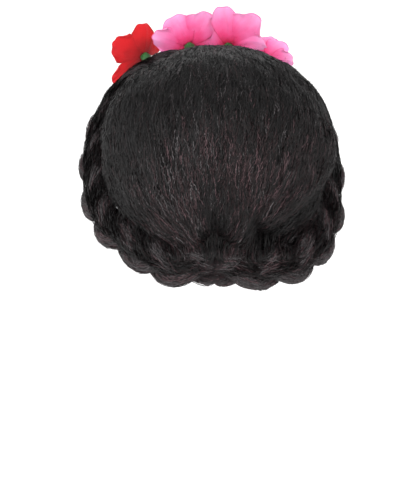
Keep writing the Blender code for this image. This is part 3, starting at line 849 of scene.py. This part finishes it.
def buildEdgeHair():
    for name, side in (("left", 1), ("right", -1)):
        def placesAt(column, row, isOuter):
            return edgePlaces(column, row, side, isOuter)

        node = "edge_hair_" + name
        mesh = shapeMesh(node + "_form", gridShell(edge["columns"], edge["rows"], placesAt, turnTipMap))
        addPiece(node + "_form", mesh, finishes["crownShell"], [node])
        count = edge["strands"]
        turn = side * rng.uniform(0, pi, count)
        ringTip = ringAt(turn)[0]
        tipFar = hairlineTip(turn)
        tip = tipFar - (tipFar - ringTip) * rng.uniform(0.0, 1, count) ** 1.7 * 0.9 - 0.004
        lengths = rng.uniform(edge["shortest"], edge["longest"], count)
        skew = rng.normal(0, 0.15, count)
        lines, outward = combed(heading(turn, tip), lengths, edge["stations"], edgeFlow, skew)
        share = stationShares(edge["stations"])
        lift = spread(0.0002, 0.0009, count)
        lines = lines + outward * (lift * smooth(share / 0.2) - 0.0002)[..., None]
        lines = crimped(lines, outward, lengths, edge["wave"], edge["crimp"])
        tone = strandTones(count, 0.45)[0]
        width = tapered(edge["width"], share, 0.6, 1.3, 0.3, 0.2, count)
        ribbons("edge_strands_" + name, lines, outward, width, rolls(share, 0.4, count), tone)


buildEdgeHair()
print("edge hair made")


# Braids: three plump strands each, plaited round a ring from the nape to the top of the head
plait = dict(
    stations=190, sides=20, strands=1650, ribbonStations=13, shortest=0.014, longest=0.027, width=0.00060,
    sink=0.0005, ending=0.014, lump=0.0012, sunk=0.0004, mapScale=8,
)
core = dict(
    sides=20, stations=90, wide=0.58, deep=0.56, drop=0.12,
    nape=0.090, napeFade=0.03, napeWide=0.20, napeDeep=0.10,
)


def braidTable(side):
    turns = pi * (1 - np.arange(91) / 90)
    tip, reach = ringAt(side * turns)[:2]
    places = heart + heading(side * turns, tip) * reach[..., None]
    runs = np.linalg.norm(np.diff(places, axis=0), axis=-1)
    return turns, np.concatenate(([0], np.cumsum(runs)))


braidTables = {1: braidTable(1), -1: braidTable(-1)}


def braidSection(side, length):
    turns, lengths = braidTables[side]
    turn = np.interp(length, lengths, turns)
    pastNape = np.minimum(length, 0) / ring["back"]
    pastTop = np.maximum(length - lengths[-1], 0) * (turns[-2] - turns[-1]) / (lengths[-1] - lengths[-2])
    found = ringAt(side * turn)
    return side * (turn - pastNape - pastTop), *found


def strandCenters(cycle, size):
    centers = []
    for number in range(3):
        angle = 2 * pi * (cycle + number / 3) + braid["phase"]
        swing, weave = braid["swing"] * np.sin(angle), braid["weave"] * np.sin(2 * angle)
        centers.append(np.stack((swing * size, weave * size), -1))
    return centers


def sectionPoint(turn, tip, reach, roll, point):
    across = point[..., 0] * np.cos(roll) + point[..., 1] * np.sin(roll)
    out = -point[..., 0] * np.sin(roll) + point[..., 1] * np.cos(roll)
    return heart + heading(turn, tip - across / reach) * (reach + out - braid["inset"])[..., None]


def strandPlace(side, number, length, angle, lift):
    turn, tip, reach, size, roll = braidSection(side, length)
    whole = braidTables[side][1][-1]
    centers = strandCenters(length / whole * braid["cycles"][side], size)
    here = centers[number]
    wide, deep = braid["halfWidth"] * size, braid["halfDepth"] * size
    ray = np.stack((np.cos(angle), np.sin(angle)), -1)
    square = (ray[..., 0] / wide) ** 2 + (ray[..., 1] / deep) ** 2
    cross = ray[..., 0] * here[..., 0] / wide ** 2 + ray[..., 1] * here[..., 1] / deep ** 2
    rest = (here[..., 0] / wide) ** 2 + (here[..., 1] / deep) ** 2 - 1
    soft = braid["softness"]
    total = ((-cross + np.sqrt(cross * cross - square * rest)) / square) ** -soft
    total = total + (braid["largest"] * size) ** -soft
    for other in range(3):
        if other != number:
            apart = centers[other] - here
            away = np.linalg.norm(apart, axis=-1)
            facing = dot(ray, apart) / away
            total = total + (np.maximum(facing, 0) / np.maximum((away - braid["gap"]) / 2, 0.0005)) ** soft
    past = 1 - (here[..., 0] / (braid["swing"] * size)) ** 2
    radius = total ** (-1 / soft) * (1 - braid["notch"] * past * smooth(np.abs(ray[..., 0]))) + lift
    near = np.minimum(length, whole - length) / braid["endLength"]
    rounding = np.sqrt(np.maximum(0, 1 - (1 - np.clip(near, 0, 1)) ** 2))
    rounding = braid["endShare"] + (1 - braid["endShare"]) * rounding
    place = sectionPoint(turn, tip, reach, roll, here + ray * (radius * rounding)[..., None])
    middle = sectionPoint(turn, tip, reach, roll, here)
    return place, unit(place - middle)


def hairTube(name, side, sides, stations, placesAt, nodes=()):
    # Both ends run past the middle, where the two braids meet
    ends = (braidTables[side][1][-1] - braid["meeting"] * 0.7, braid["meeting"])
    shape = bmesh.new()
    bmesh.ops.create_cone(shape, cap_ends=True, segments=sides, radius1=1, radius2=1, depth=1)
    rails = [line for line in shape.edges if abs(line.verts[0].co.z - line.verts[1].co.z) > 0.5]
    bmesh.ops.subdivide_edges(shape, edges=rails, cuts=stations - 1, use_grid_fill=False)
    flat = np.array([vert.co[:] for vert in shape.verts])
    column = np.rint(np.arctan2(flat[:, 1], flat[:, 0]) / (2 * pi) * sides) % sides
    share = np.rint((flat[:, 2] + 0.5) * stations) / stations
    length = ends[1] + (ends[0] - ends[1]) * share
    places = placesAt(column, length)
    uvLayer = shape.loops.layers.uv.new("UVMap")
    shape.verts.index_update()
    for face in shape.faces:
        around = [column[loop.vert.index] / sides for loop in face.loops]
        wraps = max(around) - min(around) > 0.5
        for loop, spot in zip(face.loops, around):
            wrapped = spot + 1 if wraps and spot < 0.5 else spot
            loop[uvLayer].uv = (wrapped, length[loop.vert.index] * plait["mapScale"])
    for vert in shape.verts:
        vert.co = places[vert.index]
    faceOut(shape)
    addPiece(name, shapeMesh(name, shape), finishes["braidShell"], nodes)


def buildStrandForm(name, side, number):
    def placesAt(column, length):
        lump = puff(np.stack((length * 2.2, column * 0.004 + number, 0 * length), -1)) * plait["lump"]
        return strandPlace(side, number, length, 2 * pi * column / plait["sides"], lump - plait["sunk"])[0]
    hairTube(name + "_form", side, plait["sides"], plait["stations"], placesAt, [name])


def buildBraidCore(name, side):
    # The hair inside a braid, which closes the gaps between its strands and the hair below
    def placesAt(column, length):
        turn, tip, reach, size, roll = braidSection(side, length)
        angle = 2 * pi * column / core["sides"]
        atNape = smooth((core["nape"] - length) / core["napeFade"])
        wide, deep = core["wide"] + core["napeWide"] * atNape, core["deep"] + core["napeDeep"] * atNape
        across = np.cos(angle) * wide * braid["halfWidth"] * size
        height = (np.sin(angle) * deep - core["drop"]) * braid["halfDepth"] * size
        return sectionPoint(turn, tip, reach, roll, np.stack((across, height), -1))
    hairTube(name, side, core["sides"], core["stations"], placesAt)


def buildBraidStrands(name, side):
    sets = []
    count, whole = plait["strands"], braidTables[side][1][-1]
    share = stationShares(plait["ribbonStations"])
    for number in range(3):
        lengths = rng.uniform(plait["shortest"], plait["longest"], count)
        start = rng.uniform(braid["meeting"], whole - plait["ending"], count)
        lengths = np.minimum(lengths, whole + 0.001 - start)
        length = start[:, None] + lengths[:, None] * share
        angle = spread(-pi * 0.28, pi * 1.28, count) + rng.normal(0, 0.45, (count, 1)) * share
        lift = spread(0.0002, 0.0011, count) * smooth(share / 0.15)
        tipRise = np.where(spread(0, 1, count) < 0.10, spread(0.0002, 0.0016, count), -0.0010)
        lift = lift - plait["sink"] + tipRise * smooth((share - 0.75) / 0.25)
        lines, outward = strandPlace(side, number, length, angle, lift)
        lines = crimped(lines, outward, lengths * 1.15, crown["wave"], crown["crimp"] * 0.9)
        # Painted light: braid strands are lifted to lighter tones than the crown's, against the shade in the
        # braids' grooves and sides
        tone = strandTones(count, 0.28, 0.54, 0.76)[0]
        width = tapered(plait["width"], share, 0.7, 1.35, 0.35, 0.12, count)
        sets.append((lines, outward, width, rolls(share, 0.45, count, True), tone))
    ribbons(name, *[np.concatenate(part) for part in zip(*sets)])


for sideName, side in (("left", 1), ("right", -1)):
    for number in range(3):
        buildStrandForm("braid_%s_strand_%d" % (sideName, number + 1), side, number)
    buildBraidCore("braid_%s_core" % sideName, side)
    buildBraidStrands("braid_%s_hair" % sideName, side)
print("braids made")


# Loose hair: flyaways over the crown and braids, and wisps under the hairline
loose = dict(
    flyaways=2600, flyStations=9, wisps=1500, wispStations=10, width=0.00022,
    wave=0.006, crimp=0.0005, wispWave=0.0045, wispCrimp=0.0004,
)


def buildFlyaways():
    count = loose["flyaways"]
    share = stationShares(loose["flyStations"])
    ways = sphereWays(count * 4)
    size, across = ringSpot(ways)[4:]
    ways = ways[across > braid["halfWidth"] * size * 0.9][: count // 2]
    lengths = rng.uniform(0.006, 0.017, len(ways))
    lines, outward = combed(ways, lengths, loose["flyStations"], crownFlow, rng.normal(0, 0.5, len(ways)))
    rise = spread(0.001, 0.0048, len(ways)) * share ** 1.3
    lines = crimped(lines + outward * rise[..., None], outward, lengths, loose["wave"], loose["crimp"])
    sets = [(lines, outward)]
    here = count // 12
    for side in (1, -1):
        for number in range(3):
            start = rng.uniform(0.003, braidTables[side][1][-1] - 0.02, here)
            lengths = rng.uniform(0.005, 0.014, here)
            angle = spread(0, pi, here) + rng.normal(0, 0.6, (here, 1)) * share
            rise = 0.0002 + spread(0.0006, 0.0034, here) * share ** 1.3
            lines, outward = strandPlace(side, number, start[:, None] + lengths[:, None] * share, angle, rise)
            sets.append((crimped(lines, outward, lengths, loose["wave"], loose["crimp"]), outward))
    lines, outward = [np.concatenate(part) for part in zip(*sets)]
    total = len(lines)
    width = loose["width"] * spread(0.6, 1.3, total) * (1 - 0.6 * share)
    roll = rolls(share, 0.8, total)
    ribbons("flyaway_hair", lines, outward, width, roll, strandTones(total, 0.4)[0])


def buildWisps():
    count = loose["wisps"]
    share = stationShares(loose["wispStations"])
    isLow = rng.uniform(size=count) < 0.5
    turn = np.where(isLow, rng.uniform(pi - 0.75, pi, count), rng.uniform(0, pi, count))
    turn = turn * np.where(rng.uniform(size=count) < 0.5, -1, 1)
    tip = hairlineTip(turn) - rng.uniform(-0.01, 0.03, count)
    way = heading(turn, tip)
    start = heart + way * (hairFloor(way) + rng.uniform(0.0008, 0.0034, count))[:, None]
    outside = unit(heading(turn, tip + 0.02) - way)
    atNape = smooth((np.abs(turn) - 2.2) / 0.5)
    lengths = rng.uniform(0.003, 0.008, count) * (1 + 0.35 * atNape)
    aim = unit(outside + np.cross(way, outside) * rng.normal(0, 0.7, (count, 1)) - way * 0.10)
    lines = start[:, None] + aim[:, None] * (lengths[:, None] * share)[..., None]
    outward = np.broadcast_to(way[:, None], lines.shape)
    lines = crimped(lines, outward, lengths, loose["wispWave"], loose["wispCrimp"])
    width = loose["width"] * spread(0.6, 1.4, count) * (1 - 0.6 * share)
    roll = rolls(share, 0.6, count)
    ribbons("hairline_wisps", lines, outward, width, roll, strandTones(count, 0.8)[0])


buildFlyaways()
buildWisps()
print("loose hair made")


# Cap: stretch net with sewn weft rows and an elastic rim
cap = dict(
    columns=96, rows=26, wefts=9, firstWeft=0.12, weftSpan=0.80, weftWidth=0.0034, weftRise=0.0008,
    band=0.0095, bandRise=0.0010, tapeRows=4, sewn=0.0001,
)
capRim = head["rim"] / head["halfWidth"]


def capPlaces(column, share, aside, depth):
    # A share of the way down to the cap's edge, moved aside by an angle
    turn = 2 * pi * (column % cap["columns"]) / cap["columns"]
    turn = np.where(turn > pi, turn - 2 * pi, turn)
    way = heading(turn, (hairlineTip(turn) + capRim) * share + aside)
    return heart + way * (headReach(way) + depth)[..., None]


def netPlaces(column, row, isOuter):
    return capPlaces(column, row / cap["rows"], 0, head["cap"] if isOuter else 0.0)


def addTape(joined, share, wide, rise):
    def placesAt(column, row, isOuter):
        aside = (row / cap["tapeRows"] - (1 if share == 1 else 0.5)) * wide / head["halfWidth"]
        crest = rise * np.sqrt(np.maximum(0.1, 1 - (row * 2 / cap["tapeRows"] - 1) ** 2 * 0.9))
        return capPlaces(column, share, aside, -cap["sewn"] if isOuter else -crest)

    copy = shapeMesh("tape", gridShell(cap["columns"], cap["tapeRows"], placesAt))
    joined.from_mesh(copy)
    bpy.data.meshes.remove(copy)


def buildCap():
    shape = gridShell(cap["columns"], cap["rows"], netPlaces, None, (1.5, 0.5))
    net = addPiece("cap_net", shapeMesh("cap_net", shape), finishes["net"], ["cap"])
    wefts = []
    for number in range(cap["wefts"]):
        share = cap["firstWeft"] + cap["weftSpan"] * (number + 0.5) / cap["wefts"]
        wefts.append((share, cap["weftWidth"], cap["weftRise"]))
    band = [(1, cap["band"], cap["bandRise"])]
    for name, tapes, finish in (("cap_wefts", wefts, "weft"), ("cap_rim_band", band, "elastic")):
        joined = bmesh.new()
        for tape in tapes:
            addTape(joined, *tape)
        addPiece(name, shapeMesh(name, joined), finishes[finish])


buildCap()
print("cap made")


# Flowers
petals = dict(
    length=0.036, thickness=0.0005, steepest=80, columns=18, rows=16, fill=0.80, overlap=0.0004, stack=0.0002,
    bend=0.05, twist=0.10, folds=(0.7, 1.3), pleatPlaces=0.7, pleats=(0.018, 0.036), root=0.28, widest=0.66,
    scallop=0.030, fineScallop=0.016, roundness=0.40, cup=0.20, curl=0.13, ruffle=0.060, fineRuffle=0.022,
    crease=0.034,
)
layers = (
    dict(
        piece="_silk", slot="_petals", node="_outer_petals", base="_calyx",
        step=0, hub=0.0062, share=1, lean=0, flat=(0.074, 0.074),
    ),
    dict(
        piece="_inner_silk", slot="_inner_petals", node="_inner_petals", base="_outer_petals",
        step=0.0014, hub=0.0042, share=0.72, lean=20, flat=(0.056, 0.056),
    ),
)
stamens = dict(
    count=22, turn=2.39996, across=0.0026, gap=0.0003, length=0.0080, longer=0.0030,
    foot=0.00030, top=0.00022, bead=0.00070,
)
sepals = dict(radius=0.0050, length=0.0090, gap=0.0013, lobes=5, lobeDepth=0.09, steps=30)
# Along the sepals and out from their middle
sepalProfile = (
    (0, 0), (0, 0.86), (0.08, 1.0), (0.30, 0.97), (0.60, 0.72), (0.85, 0.46), (1.0, 0.34), (1.0, 0.0),
)
# Bearing from straight up towards the wearer's left, length share, lean in degrees, width share
redPetals = (
    (10, 0.90, 14, 0.38), (76, 0.96, 14, 0.46), (138, 1.04, 10, 0.24), (205, 0.90, 40, 0.55),
    (314, 0.74, 34, 0.46),
)
pinkLeftPetals = (
    (30, 0.92, 20, 0.54), (80, 0.99, 14, 0.38), (160, 0.86, 42, 0.60), (285, 0.92, 26, 0.44),
    (332, 0.98, 18, 0.50),
)
pinkMiddlePetals = (
    (4, 1.10, 16, 0.38), (60, 0.80, 36, 0.46), (160, 0.80, 56, 0.60), (270, 1.00, 14, 0.40),
    (316, 1.10, 14, 0.46),
)
pinkRightPetals = (
    (60, 0.62, 70, 0.55), (166, 0.86, 48, 0.60), (264, 0.80, 30, 0.46), (308, 0.76, 38, 0.48),
    (345, 0.74, 48, 0.50),
)
# Name, across, back and up as shares of the ring's sizes, way that it faces, lift, petals, color, seed
flowers = (
    ("red_flower", 0.596, -0.682, 0.055, (0.42, -0.80, 0.42), 0.00471, redPetals, "red", 5),
    ("pink_left_flower", 0.212, -0.670, 0.108, (0.10, -0.90, 0.42), 0.00444, pinkLeftPetals, "pink", 5),
    ("pink_middle_flower", -0.126, -0.652, 0.106, (-0.10, -0.90, 0.42), 0.00434, pinkMiddlePetals, "pink", 5),
    ("pink_right_flower", -0.425, -0.682, 0.029, (-0.36, -0.86, 0.36), 0.00371, pinkRightPetals, "pink", 1),
)


def flowerFrame(row):
    base = Vector((row[1] * ring["halfWidth"], row[2] * ring["back"], row[3] * ring["drop"]))
    front = Vector(row[4]).normalized()
    up = (Vector((0, 0, 1)) - front * front.z).normalized()
    return base + front * row[5], front, up, up.cross(front)


def cutArea(rows, share):
    # Area of the flat cut from its petals' lengths and widths
    area = 0
    for bearing, length, lean, wide in rows:
        area += (petals["length"] * share * length) ** 2 * 2 * wide * petals["fill"]
    return area


def addPetal(shape, hub, ways, row, layer, depth, cuts):
    front, up, left = ways
    bearing, length, lean, wide = row
    lean = radians(min(petals["steepest"], lean + layer["lean"]))
    bearing = radians(bearing)
    way, cross = up * cos(bearing) + left * sin(bearing), left * cos(bearing) - up * sin(bearing)
    size = petals["length"] * length * layer["share"]
    wave = cuts.uniform(0, 2 * pi)
    bend = cuts.uniform(-petals["bend"], petals["bend"])
    twist = cuts.uniform(-petals["twist"], petals["twist"])
    folds = cuts.uniform(*petals["folds"], 2)
    pleats = []
    for spot in cuts.uniform(-petals["pleatPlaces"], petals["pleatPlaces"], 2):
        pleats.append((spot, cuts.choice((-1, 1)) * cuts.uniform(*petals["pleats"])))
    grown = bmesh.ops.create_grid(shape, x_segments=petals["columns"], y_segments=petals["rows"], size=0.5)
    uvLayer = shape.loops.layers.uv.verify()
    spots = {}
    for vert in grown["verts"]:
        spots[vert] = (vert.co.x * 2, vert.co.y + 0.5)
    for face in {face for vert in grown["verts"] for face in vert.link_faces}:
        for loop in face.loops:
            u, v = spots[loop.vert]
            loop[uvLayer].uv = (u * 0.5 + 0.5, v)
    for vert, (u, v) in spots.items():
        swell = petals["root"] + (1 - petals["root"]) * sin(min(1, v / petals["widest"]) * pi / 2)
        swell *= 1 - 0.10 * max(0, v - 0.7) ** 2 / 0.09
        lateral = u * size * wide * swell + bend * size * v * v
        scallop = petals["scallop"] * sin(3.2 * u + wave)
        scallop += petals["fineScallop"] * sin(8.5 * u * folds[1] + 2 * wave)
        along = size * (v - petals["roundness"] * v ** 3 * abs(u) ** 2.1 + v ** 4 * scallop)
        cup = size * petals["cup"] * u * u * v * (1.3 - v)
        curl = -size * petals["curl"] * v ** 3
        ruffle = size * petals["ruffle"] * v ** 2 * sin(4.6 * u * folds[0] + wave) * (0.25 + 0.75 * abs(u))
        ruffle += size * petals["fineRuffle"] * v ** 3 * sin(11 * u * folds[1] + wave)
        crease = size * petals["crease"] * max(0, 1 - abs(u) * 4) * v * (1.15 - v) * 2
        for spot, reach in pleats:
            crease += size * reach * max(0, 1 - abs(u - spot * (0.6 + 0.4 * v)) * 5) * v * (1.05 - v) * 2
        rise = along * sin(lean) * max(0.0, v) ** 0.4 + cup + curl + ruffle + crease + depth
        rise += twist * lateral
        radial = layer["hub"] * 0.55 + along * cos(lean)
        vert.co = hub + way * radial + cross * lateral + front * rise


def buildPetals(name, hub, ways, rows, color, layer, cuts):
    shape = bmesh.new()
    shape.loops.layers.uv.new("UVMap")
    hub = hub + ways[0] * layer["step"]
    for index, row in enumerate(rows):
        depth = petals["overlap"] * (index % 2) + petals["stack"] * index
        addPetal(shape, hub, ways, row, layer, depth, cuts)
    slot = color + layer["slot"]
    mesh = shapeMesh(name + layer["piece"], shape)
    piece = addPiece(name + layer["piece"], mesh, finishes[slot], [name + layer["node"]])
    thick = piece.modifiers.new("cloth", "SOLIDIFY")
    thick.thickness = petals["thickness"]
    thick.offset = 0
    return piece


def buildCenter(name, hub, front, up, left):
    shape = bmesh.new()
    for number in range(stamens["count"]):
        angle = number * stamens["turn"]
        across = stamens["across"] * (number / stamens["count"]) ** 0.5
        aside = (up * cos(angle) + left * sin(angle)) * across
        reach = stamens["length"] + stamens["longer"] * rng.uniform()
        foot, tip = hub + aside * 0.5, hub + aside * 1.5 + front * reach
        turned = (tip - foot).normalized().to_track_quat("Z", "Y").to_matrix().to_4x4()
        turned.translation = (foot + tip) / 2
        stalk = bmesh.ops.create_cone(
            shape, cap_ends=True, cap_tris=True, segments=6, radius1=stamens["foot"], radius2=stamens["top"],
            depth=reach,
        )
        bmesh.ops.transform(shape, matrix=turned, verts=stalk["verts"])
        turned.translation = tip
        bead = bmesh.ops.create_icosphere(shape, subdivisions=1, radius=stamens["bead"])
        bmesh.ops.transform(shape, matrix=turned, verts=bead["verts"])
        for face in {face for vert in bead["verts"] for face in vert.link_faces}:
            face.material_index = 1
    mesh, materials = shapeMesh(name + "_stamens", shape), [finishes["stalk"], finishes["pollen"]]
    addPiece(name + "_stamens", mesh, materials, [name + "_center"])


def buildCalyx(name, hub, front):
    shape = bmesh.new()
    sideOut = front.orthogonal().normalized()
    line = []
    for along, out in sepalProfile:
        spot = hub - front * (along * sepals["length"]) + sideOut * (out * sepals["radius"])
        line.append(shape.verts.new(spot))
    geometry = line + [shape.edges.new(pair) for pair in zip(line[:-1], line[1:])]
    bmesh.ops.spin(
        shape, geom=geometry, cent=hub, axis=front, steps=sepals["steps"], angle=2 * pi, use_merge=True,
    )
    bmesh.ops.remove_doubles(shape, verts=shape.verts, dist=0.00001)
    upward = front.cross(sideOut)
    for vert in shape.verts:
        away = vert.co - hub
        angle = np.arctan2(away.dot(upward), away.dot(sideOut))
        out = away - front * away.dot(front)
        vert.co += out * (sepals["lobeDepth"] * cos(sepals["lobes"] * angle) ** 3)
    bmesh.ops.recalc_face_normals(shape, faces=shape.faces)
    mesh = shapeMesh(name + "_sepals", shape)
    addPiece(name + "_sepals", mesh, finishes["green"], [name + "_calyx"])


def buildFlower(row):
    name, rows, color, seed = row[0], *row[6:]
    hub, *ways = flowerFrame(row)
    cuts = np.random.default_rng(seed)
    silks = [buildPetals(name, hub, ways, rows, color, layer, cuts) for layer in layers]
    buildCenter(name, hub + ways[0] * layers[1]["step"] + ways[0] * stamens["gap"], *ways)
    buildCalyx(name, hub - ways[0] * sepals["gap"], ways[0])
    for silk, layer in zip(silks, layers):
        area = cutArea(rows, layer["share"])
        name + layer["base"]


for row in flowers:
    buildFlower(row)
print("flowers made")


# Camera, backdrop and lights
studio = dict(
    floor=-0.47, halfWidth=6, front=5, behind=-5.5, bend=1.5, bendSteps=12, height=5,
    camera=(0.009, 1.797, -0.074), aim=(0.009, 0, -0.168), lens=140, sensor=36, lightAim=(0, 0, -0.10),
)
# Name, place, width, power
lights = (
    ("key", (0.5, 1.9, 0.5), 1.3, 20), ("left_fill", (1.8, 0.1, -0.05), 1.2, 12),
    ("right_fill", (-1.4, 1.2, 0.2), 1.2, 8), ("front", (0.2, -1.6, 0.6), 1.4, 9),
)


def addView(name, data, place, target):
    thing = bpy.data.objects.new(name, data)
    thing.location = place
    thing.rotation_euler = (Vector(target) - thing.location).to_track_quat("-Z", "Y").to_euler()
    bpy.context.scene.collection.objects.link(thing)
    return thing


def addCamera():
    lens = bpy.data.cameras.new("camera")
    lens.lens = studio["lens"]
    lens.sensor_width = studio["sensor"]
    bpy.context.scene.camera = addView("camera", lens, studio["camera"], studio["aim"])
    bpy.context.scene.view_settings.view_transform = "Standard"


def addLight(name, place, size, power):
    lamp = bpy.data.lights.new(name, "AREA")
    lamp.shape = "RECTANGLE"
    lamp.size = lamp.size_y = size
    lamp.energy = power
    addView(name, lamp, place, studio["lightAim"])


def buildBackdrop():
    shape = bmesh.new()
    bend, profile = studio["bend"], [(studio["front"], 0)]
    for step in range(studio["bendSteps"] + 1):
        angle = pi / 2 * step / studio["bendSteps"]
        profile.append((studio["behind"] + bend * (1 - sin(angle)), bend * (1 - cos(angle))))
    profile.append((studio["behind"], studio["height"]))
    line = [shape.verts.new((-studio["halfWidth"], y, studio["floor"] + z)) for y, z in profile]
    edges = [shape.edges.new(pair) for pair in zip(line[:-1], line[1:])]
    grown = bmesh.ops.extrude_edge_only(shape, edges=edges)
    for piece in grown["geom"]:
        if isinstance(piece, bmesh.types.BMVert):
            piece.co.x = studio["halfWidth"]
    bmesh.ops.recalc_face_normals(shape, faces=shape.faces)
    mesh = shapeMesh("backdrop", shape)
    paper = Finish("paper", {
        "Roughness": 0.9, "Specular IOR Level": 0.1, "Emission Color": (1, 1, 1, 1),
        "Emission Strength": 0.25,
    })
    cloud = paper.noise(paper.objectPlace(), 3.0)
    paper.paint("Base Color", paper.mix(cloud, (0.90, 0.90, 0.90), (0.94, 0.94, 0.94)))
    mesh.materials.append(paper.material)
    backdrop = bpy.data.objects.new("backdrop", mesh)
    bpy.context.scene.collection.objects.link(backdrop)


def addWorld():
    world = bpy.data.worlds.new("studio")
    world.use_nodes = True
    background = world.node_tree.nodes["Background"]
    background.inputs["Color"].default_value = (1, 1, 1, 1)
    background.inputs["Strength"].default_value = 1.0
    bpy.context.scene.world = world


addCamera()
buildBackdrop()
addWorld()
for row in lights:
    addLight(*row)
print("studio made")
